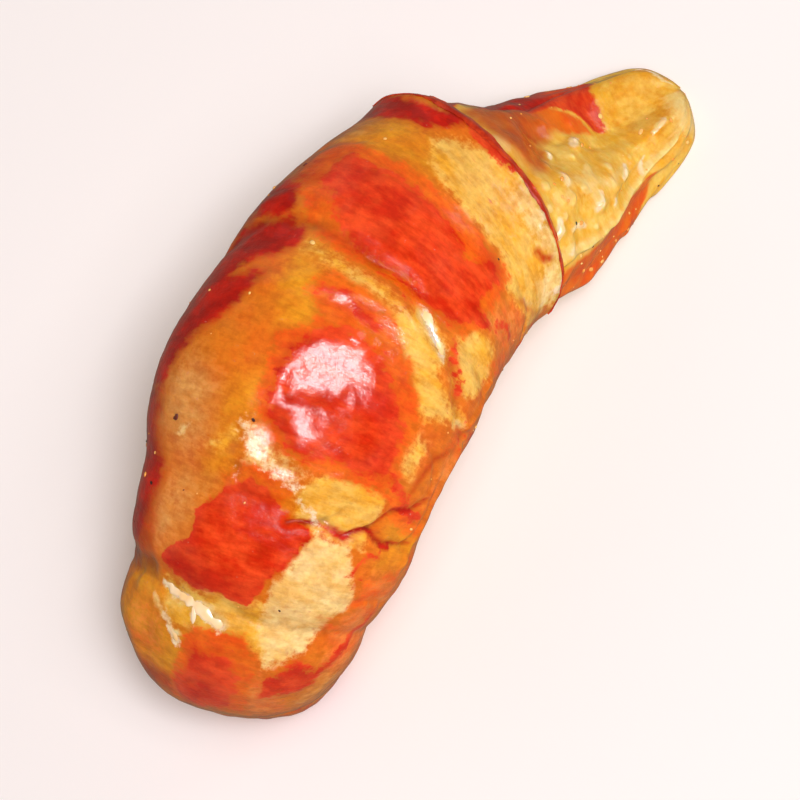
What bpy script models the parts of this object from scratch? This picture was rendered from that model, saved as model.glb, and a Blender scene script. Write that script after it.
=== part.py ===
"""One peeled, cooked crayfish tail: a single piece of meat, curled under at its posterior end.

The body is a tube of changing cross-section swept along a bent spine, from the posterior tip, which is
tucked under the belly, over the arched back, to the torn neck where the head was twisted off. It lies on
two small flat spots, one under the curl and one under the neck. The functions work in millimetres and
degrees and the finished mesh is in metres, +Z up, with its origin on the floor under its middle.
"""
import math
from dataclasses import dataclass

import bmesh
import bpy
import numpy as np
from mathutils import Matrix, Vector

NODE_NAME = "tail_meat"
MM = 0.001

# Driving dimensions of the meat, in millimetres.
BARREL_WIDTH = 17.0      # widest segment, side to side
BACK_HEIGHT = 6.3        # spine up to the dorsal skin at the thickest segment
BELLY_DEPTH = 5.1        # spine down to the belly at the thickest segment

# The torn neck, as places along the spine.
RING = 45.2              # front edge of the first segment, where the bare neck begins
NECK_STEP = 0.9          # length over which the surface drops from the ring to the neck
FRAY_START = 51.0        # where the neck begins to split into strands

# Heights and widths of the relief, in millimetres.
GROOVE_WIDTH = 0.9
SWELL_HEIGHT = 0.28
LIP_HEIGHT = 0.55
LIP_WIDTH = 1.2
PLEURA_HEIGHT = 0.7
PLEURA_COSINE = 0.88     # how far out to the side the lobes of the flanks stand, as a cosine
BELLY_GROOVE = 0.7
BELLY_GROOVE_COSINE = 0.22
BELLY_RIDGE = 0.3
LUMP_HEIGHT = 0.16
STRAND_DEPTH = 0.3
FRAY_LENGTH = 2.6
FORK_LENGTH = 1.6
FORK_START = 5.0         # where the tip begins to fork
FLANKS_FROM = (3.0, 12.0)     # the lobes and bars grow in between these places
CHANNEL_FROM = (6.0, 16.0)    # and the belly's channel between these

# The cross-section is an oval raised to these powers: below 1 it is fuller than an ellipse.
SIDE_POWER = 0.9
BACK_POWER = 0.95
BELLY_POWER = 0.8

# How the piece lies: a small turn that brings curl and neck down together, and the flats pressed there.
REST_PITCH = -0.9
FLAT_DEPTH = 0.85

# Facets: along the spine and around the meat.
RINGS = 100
SIDES = 44


@dataclass(frozen=True)
class Station:
    """One place along the spine: direction of the spine and half sizes of the cross-section.

    at is in millimetres from the posterior tip. climb turns the spine in its upright plane and lean tips
    it out of that plane to the left. twist rolls the cross-section about the spine. All are in degrees.
    width, back and belly are shares of half the BARREL_WIDTH, of BACK_HEIGHT and of BELLY_DEPTH.
    """

    at: float
    climb: float
    lean: float
    twist: float
    width: float
    back: float
    belly: float


@dataclass(frozen=True)
class Edge:
    """Line where two segments meet: its place on the flanks, its depth, and how far the back runs ahead."""

    at: float
    depth: float
    bow: float


STATIONS = (
    Station(0.0, 214, -4, 0, 0.22, 0.16, 0.18),
    Station(1.6, 206, -4, 0, 0.38, 0.30, 0.32),
    Station(4.6, 188, -5, 0, 0.47, 0.42, 0.42),
    Station(8.4, 153, -9, 2, 0.56, 0.51, 0.49),
    Station(11.6, 108, -12, 10, 0.61, 0.60, 0.57),
    Station(14.8, 62, -9, 18, 0.69, 0.69, 0.67),
    Station(18.4, 36, -5, 22, 0.80, 0.80, 0.79),
    Station(23.6, 18, 0, 23, 0.93, 0.93, 0.93),
    Station(29.2, 2, 2, 23, 1.00, 1.00, 1.00),
    Station(35.4, -16, 0, 25, 0.98, 0.99, 0.97),
    Station(41.0, -34, -5, 29, 0.92, 0.94, 0.91),
    Station(45.0, -44, -8, 27, 0.86, 0.86, 0.84),
    Station(48.4, -48, -12, 18, 0.77, 0.70, 0.68),
    Station(52.8, -38, -19, 8, 0.69, 0.57, 0.54),
    Station(57.4, -20, -25, 2, 0.52, 0.41, 0.40),
    Station(61.2, -10, -27, 0, 0.34, 0.26, 0.28),
    Station(62.4, -8, -27, 0, 0.18, 0.14, 0.15),
)
SPINE_LENGTH = STATIONS[-1].at

EDGES = (
    Edge(6.0, 0.34, 0.0),
    Edge(12.4, 0.42, 0.4),
    Edge(18.8, 0.20, 0.8),
    Edge(24.4, 0.20, 0.4),
    Edge(34.4, 0.26, 1.6),
)


def smooth_through(name: str, along: np.ndarray) -> np.ndarray:
    """Value of one station field at each place along the spine, on a smooth curve through them all."""
    places = np.array([station.at for station in STATIONS])
    values = np.array([getattr(station, name) for station in STATIONS], dtype=float)
    slopes = np.gradient(values, places)
    left = np.clip(np.searchsorted(places, along) - 1, 0, len(places) - 2)
    gap = places[left + 1] - places[left]
    t = (along - places[left]) / gap
    return (
        (2 * t**3 - 3 * t**2 + 1) * values[left]
        + (t**3 - 2 * t**2 + t) * gap * slopes[left]
        + (3 * t**2 - 2 * t**3) * values[left + 1]
        + (t**3 - t**2) * gap * slopes[left + 1]
    )


def bump(distance: np.ndarray, width: float) -> np.ndarray:
    """A soft hump, 1 at its middle and near 0 beyond its width."""
    return np.exp(-((distance / width) ** 2))


def ramp(value: np.ndarray, start: float, end: float) -> np.ndarray:
    """0 before start, 1 after end, smooth between."""
    t = np.clip((value - start) / (end - start), 0.0, 1.0)
    return t * t * (3 - 2 * t)


def spine_frames(along: np.ndarray) -> tuple[np.ndarray, ...]:
    """Middle points of the meat, its left direction and its back direction, at each place."""
    fine = np.linspace(0.0, SPINE_LENGTH, 1200)
    climb, lean, twist = (np.radians(smooth_through(name, fine)) for name in ("climb", "lean", "twist"))
    forward = np.stack([np.cos(climb) * np.cos(lean), np.sin(lean), np.sin(climb) * np.cos(lean)], axis=1)
    steps = 0.5 * (forward[1:] + forward[:-1]) * (fine[1] - fine[0])
    middle = np.vstack([np.zeros(3), np.cumsum(steps, axis=0)])
    upright = np.stack([-np.sin(climb), np.zeros_like(fine), np.cos(climb)], axis=1)
    across = np.cross(upright, forward)
    left = across * np.cos(twist)[:, None] + upright * np.sin(twist)[:, None]
    back = upright * np.cos(twist)[:, None] - across * np.sin(twist)[:, None]
    return tuple(
        np.stack([np.interp(along, fine, field[:, axis]) for axis in range(3)], axis=1)
        for field in (middle, left, back)
    )


def segment_relief(along: np.ndarray, angle: np.ndarray) -> np.ndarray:
    """Rise of the surface from swollen segments, grooves between them, side lobes and belly bars."""
    back_share = np.clip(np.sin(angle), 0.0, 1.0)
    lines = np.array([edge.at + edge.bow * back_share for edge in EDGES])
    bounds = np.vstack([np.zeros_like(angle), lines, np.full_like(angle, RING)])
    count = np.arange(len(bounds), dtype=float)
    through = np.stack([np.interp(along, column, count) for column in bounds.T], axis=1) % 1.0
    swell = np.sin(np.pi * through)

    cosine = np.cos(angle)[None, :]
    sine = np.sin(angle)[None, :]
    dorsal = np.clip(sine + 0.3, 0.0, 1.0)
    ventral = np.clip(-sine, 0.0, 1.0)
    grooves = sum(
        edge.depth * bump(along[:, None] - line[None, :], GROOVE_WIDTH) for edge, line in zip(EDGES, lines)
    )
    flank = bump(np.abs(cosine) - PLEURA_COSINE, 0.15) * (1.0 - ramp(sine, -0.3, 0.1))
    from_tip = ramp(along, *FLANKS_FROM)[:, None]
    return (
        (SWELL_HEIGHT * swell - grooves) * dorsal
        + PLEURA_HEIGHT * (swell**2 - 0.45) * flank * from_tip
        - BELLY_RIDGE * np.cos(2 * np.pi * through) * ventral**2 * from_tip
    )


def lumps(along: np.ndarray, angle: np.ndarray) -> np.ndarray:
    """Slow, uneven swellings that keep the meat from looking turned on a lathe."""
    s, a = along[:, None], angle[None, :]
    return LUMP_HEIGHT * (
        np.sin(0.42 * s + 1.3 * np.cos(a) + 0.4) + 0.7 * np.sin(0.71 * s - 2.0 * np.sin(a + 0.8) + 1.9)
    )


def cross_section(along: np.ndarray, angle: np.ndarray) -> tuple[np.ndarray, np.ndarray]:
    """Offsets to the left and to the back from the spine, for each place and angle around the meat.

    Angle 0 is the left side, 90 degrees is the middle of the back and 270 the middle of the belly.
    """
    cosine = np.cos(angle)[None, :]
    sine = np.sin(angle)[None, :]
    width = 0.5 * BARREL_WIDTH * smooth_through("width", along)[:, None]
    back = BACK_HEIGHT * smooth_through("back", along)[:, None]
    belly = BELLY_DEPTH * smooth_through("belly", along)[:, None]
    sideways = np.sign(cosine) * np.abs(cosine) ** SIDE_POWER * width
    upward = np.where(sine > 0, back * np.abs(sine) ** BACK_POWER, -belly * np.abs(sine) ** BELLY_POWER)

    barrel = (1.0 - ramp(along, RING, RING + NECK_STEP))[:, None]
    lip = LIP_HEIGHT * bump(along - RING + 0.2, LIP_WIDTH)[:, None] * np.clip(sine + 0.5, 0.0, 1.0)
    channel = BELLY_GROOVE * ramp(along, *CHANNEL_FROM)[:, None] * bump(cosine, BELLY_GROOVE_COSINE)
    channel = channel * np.clip(-sine, 0.0, 1.0)
    strands = np.cos(5 * angle + 0.6) + 0.5 * np.cos(8 * angle + 2.1)
    fray = STRAND_DEPTH * ramp(along, RING, FRAY_START)[:, None] * strands[None, :]
    rise = (segment_relief(along, angle) + lip) * barrel + lumps(along, angle) - channel + fray

    reach = np.hypot(sideways, upward)
    scale = 1.0 + rise * ramp(reach, 0.5, 2.5) / reach
    return sideways * scale, upward * scale


def torn_places(along: np.ndarray, angle: np.ndarray) -> np.ndarray:
    """Places along the spine once the torn neck and the forked tip have pulled parts of the ends back."""
    tear = 0.5 + 0.32 * np.cos(3 * angle + 0.9) + 0.18 * np.cos(5 * angle - 0.4)
    pulled_neck = ramp(along, FRAY_START, SPINE_LENGTH)[:, None] * FRAY_LENGTH * tear[None, :]
    notch = 1.0 - np.abs(np.cos(angle)) ** 0.7
    pulled_tip = (1.0 - ramp(along, 0.0, FORK_START))[:, None] * FORK_LENGTH * notch[None, :]
    return along[:, None] - pulled_neck + pulled_tip


def surface_points(along: np.ndarray, angle: np.ndarray) -> np.ndarray:
    """Points on the meat in millimetres, before it is laid on the floor, as rows along the spine."""
    sideways, upward = cross_section(along, angle)
    places = torn_places(along, angle)
    middle, left, back = spine_frames(places.ravel())
    points = middle + left * sideways.ravel()[:, None] + back * upward.ravel()[:, None]
    return points.reshape(len(along), len(angle), 3)


def swept_meat(bm: bmesh.types.BMesh) -> None:
    """Grid of RINGS by SIDES faces, wrapped round the spine and closed at both ends."""
    bmesh.ops.create_grid(bm, x_segments=RINGS, y_segments=SIDES, size=0.5)
    along = np.linspace(0.0, SPINE_LENGTH, RINGS + 1)
    angle = np.linspace(0.0, 2 * math.pi, SIDES + 1)
    points = surface_points(along, angle)
    for vert in bm.verts:
        ring = round((vert.co.x + 0.5) * RINGS)
        place = round((vert.co.y + 0.5) * SIDES)
        vert.co = Vector(points[ring, place])
    bmesh.ops.remove_doubles(bm, verts=bm.verts[:], dist=1e-4)
    ends = bmesh.ops.holes_fill(bm, edges=[edge for edge in bm.edges if edge.is_boundary], sides=0)
    bmesh.ops.poke(bm, faces=ends["faces"])
    bmesh.ops.recalc_face_normals(bm, faces=bm.faces[:])


def middle_of(bm: bmesh.types.BMesh, axis: int) -> float:
    """Middle of the mesh's extent along one axis."""
    values = [vert.co[axis] for vert in bm.verts]
    return 0.5 * (min(values) + max(values))


def lay_on_floor(bm: bmesh.types.BMesh) -> None:
    """Turn the meat to its resting pose, press its underside flat and centre it over the floor."""
    turn = Matrix.Rotation(math.radians(REST_PITCH), 3, "Y")
    bmesh.ops.rotate(bm, cent=(0, 0, 0), matrix=turn, verts=bm.verts[:])
    floor = min(vert.co.z for vert in bm.verts) + FLAT_DEPTH
    everything = bm.verts[:] + bm.edges[:] + bm.faces[:]
    bmesh.ops.bisect_plane(
        bm, geom=everything, dist=1e-4, plane_co=(0, 0, floor), plane_no=(0, 0, -1), clear_outer=True
    )
    bmesh.ops.holes_fill(bm, edges=[edge for edge in bm.edges if edge.is_boundary], sides=0)
    bmesh.ops.recalc_face_normals(bm, faces=bm.faces[:])
    bmesh.ops.translate(bm, vec=(-middle_of(bm, 0), -middle_of(bm, 1), -floor), verts=bm.verts[:])


def meat_material() -> bpy.types.Material:
    """Wet, sauce-coated orange-red crayfish meat."""
    material = bpy.data.materials.new("sauced_crayfish_meat")
    material.use_nodes = True
    shader = material.node_tree.nodes["Principled BSDF"]
    shader.inputs["Base Color"].default_value = (0.72, 0.20, 0.03, 1.0)
    shader.inputs["Roughness"].default_value = 0.28
    shader.inputs["Metallic"].default_value = 0.0
    return material


def tail_meat() -> bpy.types.Object:
    """The whole tail as one closed solid."""
    bm = bmesh.new()
    swept_meat(bm)
    lay_on_floor(bm)
    bmesh.ops.transform(bm, matrix=Matrix.Scale(MM, 4), verts=bm.verts[:])
    mesh = bpy.data.meshes.new(NODE_NAME)
    bm.to_mesh(mesh)
    bm.free()
    mesh.shade_smooth()
    mesh.set_sharp_from_angle(angle=math.radians(50))
    mesh.materials.append(meat_material())
    tail = bpy.data.objects.new(NODE_NAME, mesh)
    bpy.context.scene.collection.objects.link(tail)
    return tail


def main() -> None:
    """Clear the scene and model the tail."""
    for item in list(bpy.data.objects):
        bpy.data.objects.remove(item, do_unlink=True)
    tail_meat()


main()
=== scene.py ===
"""Looks of one peeled, cooked crayfish tail, wet with a thin sauce.

The meat is modelled again at a fine grain on the form of the CAD solid it replaces: a tube swept along a
bent spine. A place on it is given by two numbers. The first is millimetres along the spine from the curled
posterior tip, and the second degrees around it, where 0 is the left side, 90 the middle of the back and
270 the middle of the belly. Finished meshes are in metres, in the frame of the CAD model.
"""

import logging
import math
from dataclasses import dataclass, replace
from enum import Enum
from functools import cached_property

import bpy
import numpy as np
from mathutils import Matrix, Vector, noise


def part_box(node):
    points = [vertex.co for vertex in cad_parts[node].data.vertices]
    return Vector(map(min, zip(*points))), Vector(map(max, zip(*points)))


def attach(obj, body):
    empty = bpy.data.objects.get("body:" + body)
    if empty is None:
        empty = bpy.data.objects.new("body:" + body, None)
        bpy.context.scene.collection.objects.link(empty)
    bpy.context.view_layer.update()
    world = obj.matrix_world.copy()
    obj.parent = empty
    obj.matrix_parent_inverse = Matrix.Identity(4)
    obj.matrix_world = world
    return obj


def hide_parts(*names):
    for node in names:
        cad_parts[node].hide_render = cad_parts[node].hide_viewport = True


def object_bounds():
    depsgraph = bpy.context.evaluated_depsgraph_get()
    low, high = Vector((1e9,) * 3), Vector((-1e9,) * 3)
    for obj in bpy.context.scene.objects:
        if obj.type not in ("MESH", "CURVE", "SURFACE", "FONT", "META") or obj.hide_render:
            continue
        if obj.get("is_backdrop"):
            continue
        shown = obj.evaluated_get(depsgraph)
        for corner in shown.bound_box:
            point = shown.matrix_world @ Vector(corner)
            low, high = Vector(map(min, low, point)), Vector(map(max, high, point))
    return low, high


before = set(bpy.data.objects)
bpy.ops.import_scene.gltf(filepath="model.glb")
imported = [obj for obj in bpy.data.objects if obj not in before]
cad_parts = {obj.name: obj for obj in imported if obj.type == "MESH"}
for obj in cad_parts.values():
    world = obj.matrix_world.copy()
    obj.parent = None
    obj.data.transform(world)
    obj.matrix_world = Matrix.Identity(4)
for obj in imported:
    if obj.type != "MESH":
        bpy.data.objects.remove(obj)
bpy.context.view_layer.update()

log = logging.getLogger("crayfish_tail")

MM = 0.001                  # metres in a millimetre
MEAT_NODE = "tail_meat"
BODY = "root"
DEGREE_WIDTH = 0.135        # millimetres of skin in one degree around the barrel
GRAIN_FALLOFF = 0.9         # how fast the finer layers of an uneven field grow weaker
GRAIN_GAP = 2.1             # how many times finer each layer is than the one before
SEED_STEP = 17.31           # how far from each other the fields of two seeds are taken

Range = tuple[float, float]
Triple = tuple[float, float, float]
Color = Triple
Shade = tuple[float, float, float, float]
Path = tuple[tuple[float, float], ...]      # (millimetre, degree) places


# ---------------------------------------------------------------------------
# Small helpers
# ---------------------------------------------------------------------------
def bump(distance: np.ndarray, width: float) -> np.ndarray:
    """A soft hump, 1 at its middle and near 0 beyond its width."""
    return np.exp(-((distance / width) ** 2))


def ramp(value: np.ndarray, start: float, end: float) -> np.ndarray:
    """0 before start, 1 after end, smooth between."""
    t = np.clip((value - start) / (end - start), 0.0, 1.0)
    return t * t * (3 - 2 * t)


def unit(value: np.ndarray) -> np.ndarray:
    """The value held between 0 and 1."""
    return np.clip(value, 0.0, 1.0)


@dataclass(frozen=True)
class Uneven:
    """A smooth field of chance: its strength, the width of its features in millimetres, and its seed.

    size is one width for all axes or one for each, and octaves is how many layers of finer features it has.
    """

    strength: float
    size: float | Triple
    seed: int
    octaves: int = 3

    def at(self, places: np.ndarray, number: int = 0) -> np.ndarray:
        """Look the field up.

        Args:
            places: points in millimetres, as rows.
            number: added to the seed, for pieces that repeat.

        Returns:
            A value for each row, from about minus strength to strength.
        """
        moved = places / np.asarray(self.size) + (self.seed + number) * SEED_STEP
        values = [noise.fractal(Vector(row), GRAIN_FALLOFF, GRAIN_GAP, self.octaves) for row in moved]
        return self.strength * np.array(values)


def linear(red: float, green: float, blue: float) -> Shade:
    """Shader colour of a display colour given in shares of full brightness."""
    channels = (c / 12.92 if c <= 0.04045 else ((c + 0.055) / 1.055) ** 2.4 for c in (red, green, blue))
    return (*channels, 1.0)


def activate(item: bpy.types.Object) -> None:
    """Select one object alone and make it active.

    Args:
        item: the object.
    """
    bpy.ops.object.select_all(action="DESELECT")
    item.select_set(True)
    bpy.context.view_layer.objects.active = item


def rename(item: bpy.types.Object, name: str) -> None:
    """Name an object and its mesh alike."""
    item.name = name
    item.data.name = name


def grid_sheet(name: str, rows: int, columns: int) -> bpy.types.Object:
    """Flat grid of rows by columns vertices, with a UV map that follows it.

    Args:
        name: name of the new object.
        rows: vertices along X.
        columns: vertices along Y.

    Returns:
        The new object, selected alone.
    """
    bpy.ops.object.select_all(action="DESELECT")
    bpy.ops.mesh.primitive_grid_add(x_subdivisions=rows - 1, y_subdivisions=columns - 1, size=1.0)
    sheet = bpy.context.active_object
    rename(sheet, name)
    return sheet


def grid_places(sheet: bpy.types.Object) -> tuple[np.ndarray, np.ndarray]:
    """Share of the way along each side of a grid_sheet, for each vertex, from 0 to 1."""
    flat = vertex_points(sheet)
    return flat[:, 0] + 0.5, flat[:, 1] + 0.5


def vertex_points(item: bpy.types.Object) -> np.ndarray:
    """Vertex places of a mesh object.

    Args:
        item: the object.

    Returns:
        Its vertex places, as rows.
    """
    points = np.empty(len(item.data.vertices) * 3)
    item.data.vertices.foreach_get("co", points)
    return points.reshape(-1, 3)


def move_vertices(item: bpy.types.Object, points: np.ndarray) -> None:
    """Put the vertices of a mesh object at new places."""
    item.data.vertices.foreach_set("co", np.ascontiguousarray(points).ravel())
    item.data.update()


def store(item: bpy.types.Object, name: str, values: np.ndarray) -> None:
    """Keep values in a mesh for its material.

    Args:
        item: the mesh object.
        name: name of the new attribute.
        values: one number, or one vector as a row, for each vertex.
    """
    kind, member = ("FLOAT_VECTOR", "vector") if values.ndim == 2 else ("FLOAT", "value")
    layer = item.data.attributes.new(name, kind, "POINT")
    layer.data.foreach_set(member, values.astype(np.float32).ravel())


def face_outwards(item: bpy.types.Object, close: bool = False) -> None:
    """Turn the faces of a mesh outwards.

    Args:
        item: the mesh object.
        close: whether to weld the long seam of a rolled grid and fill its two open ends first.
    """
    activate(item)
    bpy.ops.object.mode_set(mode="EDIT")
    bpy.ops.mesh.select_all(action="SELECT")
    if close:
        bpy.ops.mesh.remove_doubles(threshold=1e-7)
        bpy.ops.mesh.select_all(action="DESELECT")
        bpy.ops.mesh.select_mode(type="EDGE")
        bpy.ops.mesh.select_non_manifold()
        bpy.ops.mesh.fill()
        bpy.ops.mesh.select_all(action="SELECT")
    bpy.ops.mesh.normals_make_consistent(inside=False)
    bpy.ops.object.mode_set(mode="OBJECT")


def finish_piece(item: bpy.types.Object, material: bpy.types.Material, angle: float) -> None:
    """Smooth a piece, give it its material and tie it to the body.

    Args:
        item: the piece.
        material: its finish.
        angle: degrees between two faces up to which their edge is smooth.
    """
    activate(item)
    bpy.ops.object.shade_smooth_by_angle(angle=math.radians(angle))
    item.data.materials.clear()
    item.data.materials.append(material)
    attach(item, BODY)
    log.info("%s: %d triangles", item.name, sum(len(face.vertices) - 2 for face in item.data.polygons))


# ---------------------------------------------------------------------------
# Form of the tail
# ---------------------------------------------------------------------------
@dataclass(frozen=True)
class Spots:
    """Places on the tail, as arrays: millimetres along the spine and radians around it."""

    along: np.ndarray
    angle: np.ndarray

    @cached_property
    def sine(self) -> np.ndarray:
        """Height share, from -1 at the belly to 1 at the back."""
        return np.sin(self.angle)

    @cached_property
    def cosine(self) -> np.ndarray:
        """Side share, from -1 on the right to 1 on the left."""
        return np.cos(self.angle)

    @cached_property
    def degrees(self) -> np.ndarray:
        """Degrees from -90 to 270, so that the marks on the back and flanks never cross the seam."""
        return (np.degrees(self.angle) + 90.0) % 360.0 - 90.0

    @cached_property
    def unbent(self) -> np.ndarray:
        """The same places on a straight tail, in millimetres: patterns that follow the meat lie there."""
        return np.stack([self.along, 8.0 * self.cosine, 6.0 * self.sine], axis=1)

    def shifted(self, ahead: np.ndarray | float = 0.0, turn: np.ndarray | float = 0.0) -> "Spots":
        """Places some millimetres ahead of these and some radians further round."""
        return Spots(self.along + ahead, self.angle + turn)


@dataclass(frozen=True)
class Station:
    """One place along the spine: its direction and the half sizes of the cross-section, as shares."""

    at: float
    climb: float
    lean: float
    twist: float
    width: float
    back: float
    belly: float


@dataclass(frozen=True)
class Edge:
    """Line where two segments meet: its place on the flanks, its depth, and how far the back runs ahead."""

    at: float
    depth: float
    bow: float


@dataclass(frozen=True)
class Fold:
    """A ridge, or a crease where height is below zero, along a line of (millimetre, degree) places."""

    path: Path
    height: float
    width: float


STATIONS = (
    Station(0.0, 214, -4, 0, 0.22, 0.16, 0.18),
    Station(1.6, 206, -4, 0, 0.38, 0.30, 0.32),
    Station(4.6, 188, -5, 0, 0.47, 0.42, 0.42),
    Station(8.4, 153, -9, 2, 0.56, 0.51, 0.49),
    Station(11.6, 108, -12, 10, 0.61, 0.60, 0.57),
    Station(14.8, 62, -9, 18, 0.69, 0.69, 0.67),
    Station(18.4, 36, -5, 22, 0.80, 0.80, 0.79),
    Station(23.6, 18, 0, 23, 0.93, 0.93, 0.93),
    Station(29.2, 2, 2, 23, 1.00, 1.00, 1.00),
    Station(35.4, -16, 0, 25, 0.98, 0.99, 0.97),
    Station(41.0, -34, -5, 29, 0.92, 0.94, 0.91),
    Station(45.0, -44, -8, 27, 0.86, 0.86, 0.84),
    Station(48.4, -48, -12, 18, 0.77, 0.70, 0.68),
    Station(52.8, -38, -19, 8, 0.69, 0.57, 0.54),
    Station(57.4, -20, -25, 2, 0.52, 0.41, 0.40),
    Station(61.2, -10, -27, 0, 0.34, 0.26, 0.28),
    Station(62.4, -8, -27, 0, 0.18, 0.14, 0.15),
)

EDGES = (
    Edge(6.0, 0.34, 0.0),
    Edge(12.4, 0.42, 0.4),
    Edge(18.8, 0.20, 0.8),
    Edge(24.4, 0.20, 0.4),
    Edge(34.4, 0.26, 1.6),
)
SHARP_EDGES = EDGES[:3]     # those near the tip, which are creased as well

FOLDS = (
    # the groove behind the saddle and the plump rim below it
    Fold(((34.9, 5), (35.7, 25), (36.4, 45), (36.7, 60), (36.3, 78), (36.0, 95), (35.3, 110),
          (34.2, 125), (32.7, 140), (31.6, 155), (31.0, 172)), -0.20, 0.40),
    Fold(((33.2, 58), (34.3, 75), (34.8, 90), (34.6, 104), (33.6, 118), (32.0, 132)), 0.22, 0.75),
    Fold(((36.9, 18), (37.5, 40), (37.7, 58)), 0.10, 0.32),
    # the crack across the right of the back
    Fold(((24.2, 97), (24.7, 110), (24.3, 120), (25.0, 130), (24.2, 141), (24.6, 158)), -0.22, 0.20),
    Fold(((25.0, 130), (26.1, 136), (26.5, 148), (27.3, 158)), -0.18, 0.20),
    Fold(((24.7, 110), (25.6, 116)), -0.14, 0.16),
    # the rounded end below the bold patch
    Fold(((19.9, 12), (20.1, 40), (20.0, 66), (19.7, 90), (19.2, 106)), -0.07, 0.26),
    Fold(((19.0, 35), (19.1, 60), (18.9, 84)), 0.14, 0.45),
    # the lobe that bulges on the left of the rounded end, and the waist above it
    Fold(((16.0, -12), (16.7, 12), (16.5, 34)), 0.50, 1.5),
    Fold(((19.6, -12), (19.7, 24), (19.9, 40)), -0.26, 0.75),
    # small creases on the flanks
    Fold(((28.4, 158), (29.6, 146), (30.0, 134)), -0.12, 0.22),
    Fold(((23.6, 160), (26.2, 164), (29.0, 167), (31.4, 166)), 0.24, 0.34),
    Fold(((24.6, 152), (26.4, 157), (28.8, 160)), 0.14, 0.24),
    Fold(((32.2, 160), (34.0, 163), (35.6, 160)), 0.18, 0.30),
    Fold(((20.8, 160), (21.6, 146), (21.4, 136)), -0.12, 0.22),
    Fold(((40.3, 20), (41.0, 45), (41.2, 62)), -0.08, 0.30),
    Fold(((40.8, 168), (41.6, 150), (41.2, 136)), -0.12, 0.25),
    # hollows and creases of the bare neck
    Fold(((46.6, 40), (46.8, 80), (46.9, 120), (46.6, 170)), -0.22, 0.60),
    Fold(((48.4, 158), (49.6, 138), (51.8, 122), (54.4, 116)), -0.18, 0.65),
    Fold(((50.2, 84), (53.0, 96), (56.0, 112), (59.0, 118)), -0.18, 0.60),
    Fold(((48.4, 146), (51.4, 148), (54.4, 144)), -0.16, 0.50),
    Fold(((49.4, 60), (52.0, 66), (56.0, 60)), -0.22, 0.45),
    Fold(((46.8, 158), (49.4, 160), (52.2, 160), (56.0, 154), (60.4, 144)), 0.40, 0.48),
    Fold(((53.6, 136), (55.6, 138), (57.6, 134)), 0.26, 0.80),
    Fold(((52.2, 104), (54.4, 98), (56.0, 94)), 0.22, 0.70),
)

# swollen lumps of the bare neck: millimetre, degree, half width and height
NECK_LUMPS = (
    (50.5, 99.0, 0.30, 0.26), (53.5, 99.0, 0.42, 0.28), (49.4, 114.7, 0.34, 0.26),
    (55.7, 135.0, 0.48, 0.30), (51.2, 137.2, 0.42, 0.32), (49.1, 145.5, 0.30, 0.26),
    (48.2, 141.5, 0.28, 0.24), (46.9, 136.0, 0.34, 0.26), (60.3, 119.3, 0.36, 0.22),
    (54.8, 85.5, 0.45, 0.26), (53.0, 146.5, 0.34, 0.22), (47.6, 152.0, 0.36, 0.24),
    (52.4, 117.0, 0.30, 0.16), (48.9, 126.0, 0.26, 0.22), (50.6, 127.0, 0.26, 0.20),
    (47.4, 112.0, 0.26, 0.20), (49.0, 104.0, 0.24, 0.20), (54.3, 124.0, 0.36, 0.20),
    (57.2, 128.0, 0.30, 0.18), (52.0, 107.0, 0.24, 0.18), (46.8, 122.0, 0.26, 0.22),
    (47.6, 131.0, 0.22, 0.20), (50.2, 151.0, 0.28, 0.20), (53.4, 131.0, 0.28, 0.20),
)


@dataclass(frozen=True)
class Facet:
    """A place where the swollen meat is pressed flat and so shines all over at once.

    It is an ellipse of two half sizes in millimetres, turned on the skin by some degrees. amount is how far
    it is pressed, from 0 to 1, which ends over fade, in half sizes. A joined one lies in the plane of the
    one before it.
    """

    at: float
    degree: float
    half_length: float
    half_width: float
    turn: float = 0.0
    amount: float = 0.9
    joined: bool = False
    fade: Range = (0.5, 1.5)
    samples: int = 9

    @property
    def way(self) -> Range:
        """Cosine and sine of the turn."""
        return math.cos(math.radians(self.turn)), math.sin(math.radians(self.turn))

    def inside(self) -> Spots:
        """Spread places over the ellipse.

        Returns:
            The places.
        """
        steps = np.linspace(-1.0, 1.0, self.samples)
        x, y = (part.ravel() for part in np.meshgrid(steps, steps))
        kept = np.hypot(x, y) < 1.0
        x, y = x[kept] * self.half_length, y[kept] * self.half_width
        cosine, sine = self.way
        degrees = self.degree + (x * sine + y * cosine) / DEGREE_WIDTH
        return Spots(self.at + x * cosine - y * sine, np.radians(degrees))

    def weight(self, spots: Spots, rag: np.ndarray) -> np.ndarray:
        """How much each place takes part.

        Args:
            spots: places on the tail.
            rag: uneven field that breaks the outline up.

        Returns:
            From 0 outside to amount inside.
        """
        x, y = spots.along - self.at, (spots.degrees - self.degree) * DEGREE_WIDTH
        cosine, sine = self.way
        ahead, aside = x * cosine + y * sine, y * cosine - x * sine
        far = np.hypot(ahead / self.half_length, aside / self.half_width)
        rag = rag * min(1.0, 0.5 * (self.half_length + self.half_width))
        return self.amount * (1.0 - ramp(far + rag, *self.fade))


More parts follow.
